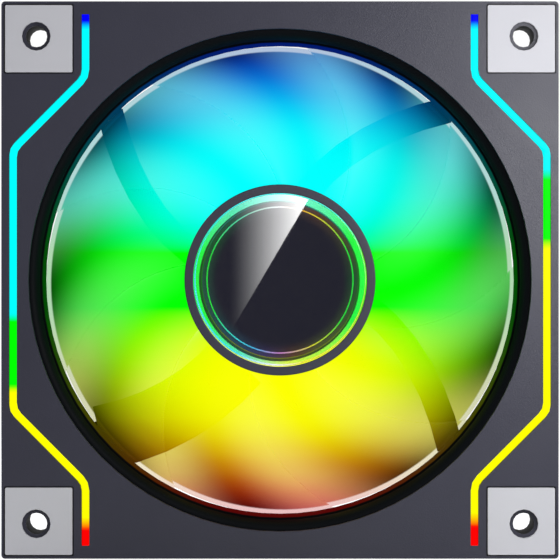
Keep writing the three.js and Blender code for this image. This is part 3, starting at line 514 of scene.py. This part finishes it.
# %% [markdown]
# ## Frosted blades, lit from inside
# The blades are milky plastic that glows with the lamps' bands. The glow is full and pure at the hub and
# fades towards the tips, and there the room behind shows through, tinted by the same bands: hardly at all
# along a blade's middle, and strongly near its edges, where the plastic is thin. A strut behind a blade
# takes that paler light away and leaves the pure glow. The very tips are polished, so they make a pale line
# all round. The mesh carries two numbers per point for this: the distance from the axis, and the place
# across the blade from -1 to 1. Neighbouring blades lap over a narrow strip, and each one thins out there,
# so that the two together look like one.

# %% Blade plastic
GLOW_AT_HUB = 3.0
HUB_EDGE = 20.0  # mm from the axis, where the lamps' light enters the blades
GLOW_FADE = 15.0  # mm over which the plastic soaks up all but a third of the light
GLOW_END = 51.0  # mm from the axis, where the thinning plastic ends
CLEAR_AT_HUB, CLEAR_AT_TIP = 0.05, 0.75  # share of the room's light that a blade's edge lets through
CLEAR_FULL = 44.0  # mm from the axis
CLEAR_IN_MIDDLE = 0.03  # share of the clearness at the edges
TINT_GREY, TINT_DEEP = 0.12, 0.5  # what shows through, in all colours alike and in the lamps' bands
TIP_START, TIP_FULL = 49.6, 49.9  # the polished tips, in mm from the axis
TIP_CLEAR = 0.85  # share of the room's light that a tip lets through, and how little it tints that light
TIP_PALE = 0.45
LAP_AT_AXIS = 0.0646  # share of half a blade that laps over the next one, and how it narrows by the mm
LAP_PER_MM = 0.00077

blade_plastic, tree = new_material("blade_plastic")
FINISHES["blade_plastic"] = blade_plastic
radius = add(tree, "ShaderNodeAttribute", attribute_name="from_axis").outputs["Fac"]
across = add(tree, "ShaderNodeAttribute", attribute_name="across").outputs["Fac"]


texture = use_group(tree, grain_group, Grain_Size=0.35, Cloud_Size=9.0, Clouding=0.06)
from_middle = maths("ABSOLUTE", across, 0.0)
lap = maths("SUBTRACT", LAP_AT_AXIS, maths("MULTIPLY", radius, LAP_PER_MM))
body_share = maths("DIVIDE", maths("SUBTRACT", 1.0, from_middle), lap, clamp=True)
edge_wave = maths("COSINE", maths("MULTIPLY", across, math.pi), 0.0)
near_edge = maths("DIVIDE", maths("SUBTRACT", 1.0, edge_wave), 2.0)
from_hub = maths("SUBTRACT", radius, HUB_EDGE)
soaked_up = maths("EXPONENT", maths("DIVIDE", from_hub, -GLOW_FADE), 0.0)
thinned = maths("SUBTRACT", 1.0, maths("DIVIDE", from_hub, GLOW_END - HUB_EDGE), clamp=True)
glow_level = maths("MULTIPLY", maths("MULTIPLY", soaked_up, thinned), GLOW_AT_HUB)
glow_level = maths("MULTIPLY", glow_level, texture.outputs["Shade"])
bands = add(tree, "ShaderNodeGroup", {"Strength": glow_level}, node_tree=bands_group)
edge_share = maths("ADD", maths("MULTIPLY", near_edge, 1 - CLEAR_IN_MIDDLE), CLEAR_IN_MIDDLE)
clear_here = between(radius, HUB_EDGE, CLEAR_FULL, CLEAR_AT_HUB, CLEAR_AT_TIP)
clearness = maths("MULTIPLY", clear_here, edge_share)
full_bands = use_group(tree, bands_group, Strength=1.0).outputs["Color"]
tint = vectors("ADD", vectors("SCALE", full_bands, TINT_DEEP), (TINT_GREY, TINT_GREY, TINT_GREY))
body_tint = vectors("SCALE", tint, clearness)
pale_tint = vectors("ADD", vectors("SCALE", tint, 1 - TIP_PALE), (TIP_PALE, TIP_PALE, TIP_PALE))
tip_tint = vectors("SCALE", pale_tint, TIP_CLEAR)
at_tip = between(radius, TIP_START, TIP_FULL)
window_tint = mixed(at_tip, body_tint, tip_tint)
both_skins = vectors("MULTIPLY", window_tint, bands.outputs["Dark Share"])
one_skin = add(tree, "ShaderNodeGamma", {0: both_skins, 1: maths("DIVIDE", body_share, 2.0)}).outputs[0]
glow_colour = vectors("DIVIDE", bands.outputs["Color"], vectors("SUBTRACT", (1, 1, 1), both_skins))
glow = vectors("MULTIPLY", glow_colour, vectors("SUBTRACT", (1, 1, 1), one_skin))
blade_skin = add(
    tree,
    "ShaderNodeBsdfPrincipled",
    {
        "Base Color": vectors("SCALE", tint, maths("MULTIPLY", texture.outputs["Shade"], 0.004)),
        "Roughness": maths("ADD", texture.outputs["Roughness Shift"], 0.35),
        "Specular IOR Level": 0.04,
        "Emission Color": glow,
        "Emission Strength": 1.0,
        "Normal": relief_of(texture, 0.004),
    },
)
window = add(tree, "ShaderNodeBsdfTransparent", {"Color": one_skin})
both = add(tree, "ShaderNodeAddShader", {0: window.outputs[0], 1: blade_skin.outputs[0]})
covers(tree, both)

# %% [markdown]
# ## Light bars
# Behind each clear bar sits a strip of small lamps. The frosted bar evens them out, so it shows blocks of
# pure colour that change over about a millimetre. The two strips change colour at different heights.

# %% Light plastic for the two bars
BLUE, CYAN, GREEN = (0.0, 0.0, 1.0), (0.0, 1.0, 1.0), (0.0, 1.0, 0.0)
YELLOW, RED = (1.0, 1.0, 0.0), (1.0, 0.0, 0.0)
BAR_REACH = 60.0  # mm above and below the axis
BAR_BLOCKS = {
    -1: [(-60, RED), (-53.6, RED), (-51.0, YELLOW), (-24.2, YELLOW), (-22.8, GREEN), (-8.8, GREEN),
         (-7.3, CYAN), (54.0, CYAN), (55.6, BLUE), (60, BLUE)],
    1: [(-60, RED), (-53.0, RED), (-50.0, YELLOW), (6.7, YELLOW), (8.8, GREEN), (21.8, GREEN),
        (23.9, CYAN), (54.0, CYAN), (55.6, BLUE), (60, BLUE)],
}

light_plastic, tree = new_material("light_plastic")
FINISHES["light_plastic"] = light_plastic
axes = room_axes(tree)
bar_share = between(axes["Z"], -BAR_REACH * MM, BAR_REACH * MM)
side_colours = {}
for side, blocks in BAR_BLOCKS.items():
    stops = [((height + BAR_REACH) / (2 * BAR_REACH), colour) for height, colour in blocks]
    side_colours[side] = colour_ramp(tree, bar_share, stops)
bar_colour = mixed(maths("GREATER_THAN", axes["X"], 0.0), side_colours[-1], side_colours[1])
texture = use_group(tree, grain_group, Grain_Size=0.3, Cloud_Size=6.0, Clouding=0.12)
light_skin = add(
    tree,
    "ShaderNodeBsdfPrincipled",
    {
        "Base Color": vectors("SCALE", bar_colour, maths("MULTIPLY", texture.outputs["Shade"], 0.02)),
        "Roughness": maths("ADD", texture.outputs["Roughness Shift"], 0.3),
        "Specular IOR Level": 0.03,
        "Emission Color": vectors("SCALE", bar_colour, texture.outputs["Shade"]),
        "Emission Strength": 1.0,
        "Normal": relief_of(texture, 0.004),
    },
)
covers(tree, light_skin)

# %% [markdown]
# ## Light in the hub
# A ring of the same plastic glows round the hub's mirror. Its main band is edged on the outside by a thin
# line where the light leaves the ring's rim, yellow on one side and pale blue on the other. The two circles
# are set a little off the axis, as the lamps below them are. On the mirror inside the ring, the ring's own
# reflections are painted as glow: one thin bright circle on a hoop of its own, and a dim glow that fades
# inwards, painted on the rear mirror. They too stay put while the hub turns.

# %% How far round the clock a point lies, and how far it is from a circle's centre
def clock_share(tree):
    """0 at the top, and on round the clock to 1."""
    axes = room_axes(tree)
    turn = maths("ARCTAN2", axes["X"], axes["Z"])
    return maths("FRACT", maths("ADD", maths("DIVIDE", turn, FULL_TURN), 1.0), 0.0)


def distance_from(tree, right, up):
    """Distance in mm, across the fan, from a point given in mm."""
    where = add(tree, "ShaderNodeNewGeometry")
    moved = vectors("SUBTRACT", where.outputs["Position"], (right * MM, 0, up * MM))
    flat = vectors("MULTIPLY", moved, (1, 0, 1))
    length = add(tree, "ShaderNodeVectorMath", {0: flat}, operation="LENGTH").outputs["Value"]
    return maths("DIVIDE", length, MM)


def clock_colours(tree, colours, share=1.0):
    """colours are (degrees from the top, colour), all dimmed to a share."""
    stops = [(degrees / 360, tuple(share * part for part in colour)) for degrees, colour in colours]
    return colour_ramp(tree, clock_share(tree), stops)


# %% Hues of the hub's light, and where each lies round the clock in degrees
WHITE = (0.9, 0.95, 1.0)
PALE_CYAN = (0.2, 0.95, 0.8)
AQUA = (0.05, 0.8, 0.85)
SEA_GREEN = (0.1, 0.8, 0.5)
LEAF = (0.01, 0.95, 0.05)
LIME = (0.7, 0.9, 0.05)
GOLD = (0.9, 0.85, 0.03)
ORANGE = (1.0, 0.4, 0.03)
VIOLET = (0.8, 0.3, 0.8)
INDIGO = (0.4, 0.25, 1.0)
SKY = (0.07, 0.55, 1.0)
RING_COLOURS = [
    (0, PALE_CYAN), (60, LEAF), (120, LEAF), (175, LIME), (205, SEA_GREEN), (240, LEAF), (290, LEAF),
    (330, SEA_GREEN), (360, PALE_CYAN),
]
RIM_COLOURS = [(0, WHITE), (25, GOLD), (165, GOLD), (185, WHITE), (210, AQUA), (315, AQUA), (360, WHITE)]
# the ring's thin reflection, painted as glow on its own hoop
RING_REFLECTION_COLOURS = [
    (0, WHITE), (15, ORANGE), (30, GOLD), (65, LEAF), (125, LEAF), (155, GOLD), (180, VIOLET), (200, SKY),
    (215, AQUA), (245, LEAF), (290, LEAF), (330, SEA_GREEN), (360, WHITE),
]
# the ring's reflection on the rear mirror, painted as a dim glow that fades inwards
REFLECTED_GLOW_COLOURS = [
    (0, WHITE), (30, ORANGE), (90, LEAF), (150, LIME), (170, ORANGE), (190, INDIGO), (210, SKY),
    (245, SEA_GREEN), (300, LEAF), (330, SEA_GREEN), (360, WHITE),
]
RING_REFLECTION_SHARE = 0.7  # how bright the painted thin reflection and the painted glow on the rear mirror are, beside the ring itself
REFLECTED_GLOW_SHARE = 0.08
SMOKE = 0.22  # share of light that the lens lets through
THROUGH_LENS = 1.34 / SMOKE  # makes up for the smoke and for what the half mirror keeps back
LENS_SCATTER_GLOW = (0.0, 0.0, 0.0095)  # light that the lens itself scatters, painted as a faint blue glow on the rear mirror

# %% A glowing finish for a piece behind the lens
def hub_light(name, colour_of, base, roughness, metallic=0.0):
    """colour_of(tree) gives the light that should come out in front of the lens."""
    material, tree = new_material(name)
    texture = use_group(tree, grain_group, Grain_Size=0.3, Cloud_Size=6.0, Clouding=0.10)
    strength = maths("MULTIPLY", texture.outputs["Shade"], THROUGH_LENS)
    skin = add(
        tree,
        "ShaderNodeBsdfPrincipled",
        {
            "Base Color": vectors("SCALE", base, texture.outputs["Shade"]),
            "Roughness": maths("ADD", texture.outputs["Roughness Shift"], roughness),
            "Metallic": metallic,
            "Specular IOR Level": 0.2,
            "Emission Color": vectors("SCALE", colour_of(tree), strength),
            "Emission Strength": 1.0,
            "Normal": relief_of(texture, 0.002),
        },
    )
    covers(tree, skin)
    return material


# %% [markdown]
# ## The hub's mirror
# The lens in the hub is smoked glass with a half mirror on it. It hides the hub when its lamps are off,
# lets the ring of light through when they are on, and shows the room on its polished front. The shader
# bends light through the lens and tints it on the way. Glass has an index of 1.5 and gives back a
# twenty-fifth of the light. An index of 2.4 gives back a sixth, and so stands for the half mirror's
# coating.

# %% Smoked glass
HALF_MIRROR_INDEX = 2.4
POLISH = 0.008  # roughness of the lens
mirror_glass, tree = new_material("mirror_glass")
FINISHES["mirror_glass"] = mirror_glass
texture = use_group(tree, grain_group, Grain_Size=1.5, Cloud_Size=14.0, Clouding=0.04)
smoke = vectors("SCALE", (SMOKE, SMOKE, SMOKE), texture.outputs["Shade"])
haze = maths("ADD", maths("MULTIPLY", texture.outputs["Roughness Shift"], 0.2), POLISH, clamp=True)
glass_skin = add(
    tree,
    "ShaderNodeBsdfPrincipled",
    {
        "Base Color": smoke,
        "Roughness": haze,
        "IOR": HALF_MIRROR_INDEX,
        "Transmission Weight": 1.0,
        "Normal": relief_of(texture, 0.0002, 0.1),
    },
)
covers(tree, glass_skin)

# %% The ring, the rear mirror with its painted reflected glow, and the thin painted reflection
INNER_CENTRE, INNER_EDGE = (-0.14, -0.22), (17.25, 17.4)  # mm: where the main band begins
OUTER_CENTRE, OUTER_EDGE = (0.10, 0.16), (18.25, 18.35)  # mm: where the rim line begins
RING_SHADOW = 0.07  # how bright the ring is inside its main band
REFLECTED_GLOW_REACH = (13.4, 16.4)  # mm from the axis
REFLECTED_GLOW_CURVE = 1.6


def ring_light(tree):
    band = clock_colours(tree, RING_COLOURS)
    rim = clock_colours(tree, RIM_COLOURS)
    inside = between(distance_from(tree, *INNER_CENTRE), *INNER_EDGE)
    outside = between(distance_from(tree, *OUTER_CENTRE), *OUTER_EDGE)
    lit = vectors("SCALE", band, maths("ADD", maths("MULTIPLY", inside, 1 - RING_SHADOW), RING_SHADOW))
    return mixed(outside, lit, rim)


# painted reflection: the rear mirror glows with the ring's colours, fading inwards, and with the lens's
# scatter as a faint blue
def painted_mirror_reflection(tree):
    near_rim = between(distance_from(tree, 0, 0), *REFLECTED_GLOW_REACH)
    haze = clock_colours(tree, REFLECTED_GLOW_COLOURS, REFLECTED_GLOW_SHARE)
    haze = vectors("SCALE", haze, maths("POWER", near_rim, REFLECTED_GLOW_CURVE))
    return vectors("ADD", haze, LENS_SCATTER_GLOW)


ring_finish = hub_light("light_ring", ring_light, (0.05, 0.05, 0.05), 0.3)
# the rear mirror carries the painted reflected glow
mirror_painted_reflection_finish = hub_light("rear_mirror", painted_mirror_reflection, (0.02, 0.02, 0.024), 0.08, 1.0)
# the thin reflection of the ring, painted as glow on a hoop
ring_reflection_finish = hub_light(
    "painted_ring_reflection", lambda tree: clock_colours(tree, RING_REFLECTION_COLOURS, RING_REFLECTION_SHARE), (0.02, 0.02, 0.02), 0.3
)
print("finishes:", sorted(FINISHES))

# %% Every CAD node takes the finish of its slot
for name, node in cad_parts.items():
    node.data.materials[0] = FINISHES[slot_of[name]]

# %% [markdown]
# ## Helpers for the pieces
# The fan is drawn in its own plane: right, up, and a depth that grows towards the front. Turned pieces are
# profiles spun about the axis. Sharp corners never look real, so outlines are rounded before they are used.

# %% Points, welding and new pieces
WELD = 0.002 * MM
SMOOTH_ANGLE = math.radians(32)


def at(right, up, depth):
    """A point of the fan in mm, in the frame's axes and in metres."""
    return Vector((right, -depth, up)) * MM


def clock(radius, degrees):
    """Right and up of a point at a clock angle from the top."""
    turn = math.radians(degrees)
    return radius * math.sin(turn), radius * math.cos(turn)


def new_piece(name, mesh, body, slot, *nodes, finish=None, second=None, takes_second=None):
    """Puts a finished mesh in the scene, in place of the CAD nodes named. Faces that pass the
    takes_second test get the second finish."""
    mesh.materials.clear()
    mesh.materials.append(finish or FINISHES[slot])
    if second:
        mesh.materials.append(second)
    for polygon in mesh.polygons:
        polygon.use_smooth = True
        polygon.material_index = 1 if second and takes_second(polygon) else 0
    mesh.set_sharp_from_angle(angle=SMOOTH_ANGLE)
    piece = bpy.data.objects.new(name, mesh)
    bpy.context.collection.objects.link(piece)
    flats = piece.modifiers.new("flats_stay_flat", "WEIGHTED_NORMAL")
    flats.keep_sharp = True
    flats.weight = 100
    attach(piece, body)
    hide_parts(*nodes)
    return piece


def mesh_from(build, name):
    """Runs build(bm) on an empty mesh, welds it and turns all its faces outwards."""
    bm = bmesh.new()
    build(bm)
    bmesh.ops.remove_doubles(bm, verts=bm.verts, dist=WELD)
    bmesh.ops.recalc_face_normals(bm, faces=bm.faces)
    mesh = bpy.data.meshes.new(name)
    bm.to_mesh(mesh)
    open_edges = sum(1 for e in bm.edges if len(e.link_faces) != 2)
    bm.free()
    print(name, "faces:", len(mesh.polygons), "open edges:", open_edges)
    return mesh


# %% Rounding the corners of an outline
def rounded(points, radius, steps=4):
    """A closed outline with each corner replaced by an arc. radius is a number or one for each corner."""
    radii = radius if isinstance(radius, (list, tuple)) else [radius] * len(points)
    made = []
    for index, (point, size) in enumerate(zip(points, radii)):
        here = Vector(point)
        if size <= 0:
            made.append(tuple(here))
            continue
        back = Vector(points[index - 1]) - here
        onward = Vector(points[(index + 1) % len(points)]) - here
        half = back.angle(onward) / 2
        reach = min(size / math.tan(half), back.length / 2.01, onward.length / 2.01)
        size = reach * math.tan(half)
        middle = here + (back.normalized() + onward.normalized()).normalized() * (size / math.sin(half))
        start = here + back.normalized() * reach - middle
        end = here + onward.normalized() * reach - middle
        sweep = start.angle(end)
        for step in range(steps + 1):
            share = step / steps
            spoke = (start * math.sin((1 - share) * sweep) + end * math.sin(share * sweep)) / math.sin(sweep)
            made.append(tuple(middle + spoke))
    return made


# %% Turned pieces
TURN_STEPS = 240


def turned(bm, profile, steps=TURN_STEPS):
    """Spins a closed profile of (radius, depth). A profile that touches the axis closes itself there."""
    rings = []
    for step in range(steps):
        degrees = 360 * step / steps
        rings.append([bm.verts.new(at(*clock(max(r, 0), degrees), depth)) for r, depth in profile])
    count = len(profile)
    for step in range(steps):
        here, onward = rings[step], rings[(step + 1) % steps]
        for index in range(count):
            following = (index + 1) % count
            if profile[index][0] <= 0 and profile[following][0] <= 0:
                continue
            corners = [here[index], here[following], onward[following], onward[index]]
            if profile[index][0] <= 0:
                corners = [here[index], here[following], onward[following]]
            elif profile[following][0] <= 0:
                corners = [here[index], here[following], onward[index]]
            bm.faces.new(corners)


# %% Softened copies of CAD pieces
def softened(node, radius, steps=2, sharp=40):
    """Copies a CAD piece and rounds its sharp edges by a radius in mm, which only takes material away."""
    bm = bmesh.new()
    bm.from_mesh(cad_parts[node].data)
    bmesh.ops.remove_doubles(bm, verts=bm.verts, dist=WELD)
    bmesh.ops.dissolve_limit(bm, angle_limit=math.radians(0.5), verts=bm.verts, edges=bm.edges)
    edges = [e for e in bm.edges if len(e.link_faces) == 2 and e.calc_face_angle(0) > math.radians(sharp)]
    bmesh.ops.bevel(
        bm, geom=edges, offset=radius * MM, segments=steps, profile=0.5, affect="EDGES", clamp_overlap=True
    )
    mesh = bpy.data.meshes.new(node + "_softened")
    bm.to_mesh(mesh)
    bm.free()
    print(node, "rounded edges:", len(edges), "faces:", len(mesh.polygons))
    return mesh


# %% [markdown]
# ## The housing
# The frame, the bezel, the covers, the socket and the pads are plain mouldings. Their shapes are right in
# the frame already. What a mould adds is a small radius on each edge, which catches a thin line of light.

# %% Softened mouldings
SOFT_EDGES = {"front_bezel": 0.25, "frame_body": 0.2}  # mm
for node in ("left_side_cover", "right_side_cover", "cable_socket", "strut_cover"):
    SOFT_EDGES[node] = 0.15
for face in ("front", "rear"):
    for corner in ("top_left", "top_right", "bottom_left", "bottom_right"):
        SOFT_EDGES[f"{face}_pad_{corner}"] = 0.3
WALL_REACH = (50 * MM, 51.75 * MM)  # from the axis
BASE_REACH = 20 * MM
STRUT_DEPTH = 7.9 * MM


def lamps_reach(polygon):
    """True for the duct's wall beside the blades, and for the fronts of the struts and base."""
    centre, normal = polygon.center, polygon.normal
    spoke = Vector((centre.x, 0, centre.z))
    if spoke.length > WALL_REACH[1]:
        return False
    wall = normal.dot(spoke.normalized()) < -0.7 and spoke.length > WALL_REACH[0]
    return wall or (normal.y < -0.5 and centre.y > STRUT_DEPTH and spoke.length > BASE_REACH)


for node, radius_mm in SOFT_EDGES.items():
    lit = {"second": lit_black, "takes_second": lamps_reach} if node == "frame_body" else {}
    new_piece(node + "_moulding", softened(node, radius_mm), "housing", slot_of[node], node, **lit)

# %% [markdown]
# ## Light bars
# Each bar is one straight moulding bent at four places. Its narrow front shows in the bezel's slot, and a
# wider foot behind holds it. A profile drawn across the bar is carried along its line.

# %% Bars swept along their line
BAR_CORNERS = [(41.9, 57.2), (41.9, 43.8), (57.5, 28.1), (57.5, -28.1), (41.9, -43.8), (41.9, -57.2)]
BAR_BEND = 1.6
BAR_HALF_WIDTH = 0.725
BAR_FOOT_HALF_WIDTH = 1.4
BAR_FRONT = -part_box("left_light_bar")[0].y / MM
BAR_REAR = -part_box("left_light_bar")[1].y / MM
BAR_STEP = 9.1  # where the foot ends
BAR_SOFT = 0.2


def bent_line(corners, radius, steps):
    """An open line whose inner corners are arcs."""
    arcs = rounded(corners, [0] + [radius] * (len(corners) - 2) + [0], steps)
    return [Vector(p) for p in arcs]


def swept(bm, line, profile):
    """Carries a closed profile of (across, depth) along an open line, with mitred turns and flat ends."""
    rings = []
    for index, point in enumerate(line):
        before = (point - line[index - 1]).normalized() if index else None
        after = (line[index + 1] - point).normalized() if index + 1 < len(line) else None
        along = ((before or after) + (after or before)).normalized()
        widen = 1 / max(along.dot(after or before), 0.5)
        across = Vector((along.y, -along.x)) * widen
        rings.append([bm.verts.new(at(*(point + across * offset), depth)) for offset, depth in profile])
    for here, onward in zip(rings, rings[1:]):
        for index in range(len(profile)):
            following = (index + 1) % len(profile)
            bm.faces.new([here[index], here[following], onward[following], onward[index]])
    bm.faces.new(rings[0])
    bm.faces.new(rings[-1])


bar_profile = rounded(
    [
        (-BAR_FOOT_HALF_WIDTH, BAR_REAR), (BAR_FOOT_HALF_WIDTH, BAR_REAR), (BAR_FOOT_HALF_WIDTH, BAR_STEP),
        (BAR_HALF_WIDTH, BAR_STEP), (BAR_HALF_WIDTH, BAR_FRONT), (-BAR_HALF_WIDTH, BAR_FRONT),
        (-BAR_HALF_WIDTH, BAR_STEP), (-BAR_FOOT_HALF_WIDTH, BAR_STEP),
    ],
    BAR_SOFT,
    3,
)
for name, side in (("left_light_bar", -1), ("right_light_bar", 1)):
    line = bent_line([(side * x, y) for x, y in BAR_CORNERS], BAR_BEND, 8)
    bar = mesh_from(lambda bm: swept(bm, line, bar_profile), name)
    new_piece(name + "_lens", bar, "housing", "light_plastic", name)

# %% [markdown]
# ## The impeller
# One moulding holds the hub and nine wide, swept blades. A blade is a thin closed skin: its section is an
# arc that is blunt at the leading edge, and it turns back as it nears the hub. The skin is drawn by a
# formula, as in the frame, in far finer steps, so that its outline is smooth. It reaches a little further than
# the frame's blade, about the same centre line, so that the pale line at the tips is as wide as it looks.

# %% Blades
BLADES = 9
ROOT_RADIUS = 19.6
TIP_RADIUS = 50.75  # 0.45 mm more than in the frame, and still inside the duct
LEAD_DEPTH = 7.0
TRAIL_DEPTH = -6.0
CAMBER = 1.4
TIP_ANGLE = 26.74
SWEEP = (1.24, -0.0055)
HALF_ANGLE = 20.6
NOSE = (1.25, 0.55)
ROOT_THICKNESS = 2.4
TIP_THICKNESS = 1.5
AROUND = 56
ALONG = 26
TIP_ROUNDING = [0.0, 0.45, 0.75, 0.92, 1.0]  # how full the skin is over its last steps, from the tip in
TIP_STEP = 0.12


def blade_point(index, share_round, radius_mm, fullness):
    """A point of a blade's skin, and its place across the blade from -1 to 1."""
    chord = (1 - math.cos(FULL_TURN * share_round)) / 2
    inward = TIP_RADIUS - radius_mm
    centre = TIP_ANGLE + SWEEP[0] * inward + SWEEP[1] * inward**2
    half = math.radians(HALF_ANGLE) * radius_mm
    slope = TRAIL_DEPTH - LEAD_DEPTH + 4 * CAMBER * (1 - 2 * chord)
    length = math.hypot(2 * half, slope)
    share = (radius_mm - ROOT_RADIUS) / (TIP_RADIUS - ROOT_RADIUS)
    thickness = ROOT_THICKNESS + (TIP_THICKNESS - ROOT_THICKNESS) * share
    skin = thickness / 2 * math.sin(FULL_TURN * share_round) * (NOSE[0] - NOSE[1] * chord) * fullness
    across = half * (2 * chord - 1) - skin * slope / length
    depth = LEAD_DEPTH + (TRAIL_DEPTH - LEAD_DEPTH) * chord + 4 * CAMBER * chord * (1 - chord)
    depth += skin * 2 * half / length
    degrees = centre + math.degrees(across / radius_mm) + index * 360 / BLADES
    return at(*clock(radius_mm, degrees), depth), 2 * chord - 1


def blade(bm, index, from_axis, across):
    tip_rows = [TIP_RADIUS - TIP_STEP * step for step in range(len(TIP_ROUNDING))]
    inner = [ROOT_RADIUS + (tip_rows[-1] - ROOT_RADIUS) * row / ALONG for row in range(ALONG)]
    rows = [(radius_mm, 1.0) for radius_mm in inner] + list(zip(tip_rows, TIP_ROUNDING))[::-1]
    rings = []
    for radius_mm, fullness in rows:
        ring = []
        for step in range(AROUND):
            place, share_across = blade_point(index, step / AROUND, radius_mm, max(fullness, 0.02))
            vertex = bm.verts.new(place)
            vertex[from_axis] = radius_mm
            vertex[across] = share_across
            ring.append(vertex)
        rings.append(ring)
    for here, onward in zip(rings, rings[1:]):
        for step in range(AROUND):
            following = (step + 1) % AROUND
            bm.faces.new([here[step], here[following], onward[following], onward[step]])
    for ring in (rings[0], rings[-1]):
        for step in range(AROUND // 2):
            far = AROUND - 1 - step
            corners = [ring[step], ring[step + 1], ring[far], ring[(far + 1) % AROUND]]
            kept = list(dict.fromkeys(corners))
            if len(kept) > 2:
                bm.faces.new(kept)


# %% Hub and blades together
HUB = {
    "outer": 20.4, "inner": 19.0, "seat": 18.65, "rear": -6.9, "wall_rear": 7.0, "wall_front": 8.4, "rim": 9.8
}


def impeller(bm):
    from_axis = bm.verts.layers.float.new("from_axis")
    across = bm.verts.layers.float.new("across")
    cup = [
        (0, HUB["wall_rear"]), (HUB["inner"], HUB["wall_rear"]), (HUB["inner"], HUB["rear"]),
        (HUB["outer"], HUB["rear"]), (HUB["outer"], HUB["rim"]), (HUB["seat"], HUB["rim"]),
        (HUB["seat"], HUB["wall_front"]), (0, HUB["wall_front"]),
    ]
    turned(bm, rounded(cup, [0, 0.3, 0.2, 0.3, 0.3, 0.2, 0.2, 0], 3), 144)
    for vertex in bm.verts:
        vertex[from_axis] = HUB["outer"]
    for index in range(BLADES):
        blade(bm, index, from_axis, across)


new_piece("impeller_moulding", mesh_from(impeller, "impeller"), "rotor", "blade_plastic", "impeller")

# %% [markdown]
# ## Trim ring, lens, light ring and rear mirror
# All four are turned. The light ring glows behind the smoked lens. Between two mirrors a light is seen
# again and again, each time fainter, so a thin second ring of light shows inside the first. That reflection is
# painted: it is modelled as a thin glowing ring of its own, because its place depends on how the real mirrors
# lean, which the frame doesn't know.

# %% Turned rings and discs
def ring_profile(node, inner, soft):
    low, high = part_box(node)
    outer, front, rear = high.x / MM, -low.y / MM, -high.y / MM
    corners = [(inner, rear), (outer, rear), (outer, front), (inner, front)]
    if inner <= 0:
        return rounded(corners, [0, soft, soft, 0], 4)
    return rounded(corners, soft, 4)


for node, inner, soft, finish in (
    ("hub_trim_ring", 18.7, 0.22, None),
    ("front_mirror", 0, 0.12, None),
    ("light_ring", 17.0, 0.2, ring_finish),
    ("rear_mirror", 0, 0.08, mirror_painted_reflection_finish),
):
    profile = ring_profile(node, inner, soft)
    made = mesh_from(lambda bm: turned(bm, profile), node)
    new_piece(node + "_turned", made, "rotor", slot_of[node], node, finish=finish)

# %% The thin reflection, painted as glow on a fine hoop that lies on the rear mirror
REFLECTION_HOOP_RADIUS = 15.75
REFLECTION_HOOP_THICKNESS = 0.28
REFLECTION_HOOP_LIFT, REFLECTION_HOOP_TOP = 0.02, 0.14  # its rear and front, in mm in front of the rear mirror
reflection_hoop_depth = -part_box("rear_mirror")[0].y / MM
reflection_hoop_inside = REFLECTION_HOOP_RADIUS - REFLECTION_HOOP_THICKNESS / 2
reflection_hoop_outside = REFLECTION_HOOP_RADIUS + REFLECTION_HOOP_THICKNESS / 2
reflection_hoop_profile = rounded(
    [
        (reflection_hoop_inside, reflection_hoop_depth + REFLECTION_HOOP_LIFT), (reflection_hoop_outside, reflection_hoop_depth + REFLECTION_HOOP_LIFT),
        (reflection_hoop_outside, reflection_hoop_depth + REFLECTION_HOOP_TOP), (reflection_hoop_inside, reflection_hoop_depth + REFLECTION_HOOP_TOP),
    ],
    0.04,
    2,
)
reflection_hoop_mesh = mesh_from(lambda bm: turned(bm, reflection_hoop_profile), "painted_ring_reflection")
new_piece("painted_ring_reflection_hoop", reflection_hoop_mesh, "rotor", "light_plastic", finish=ring_reflection_finish)
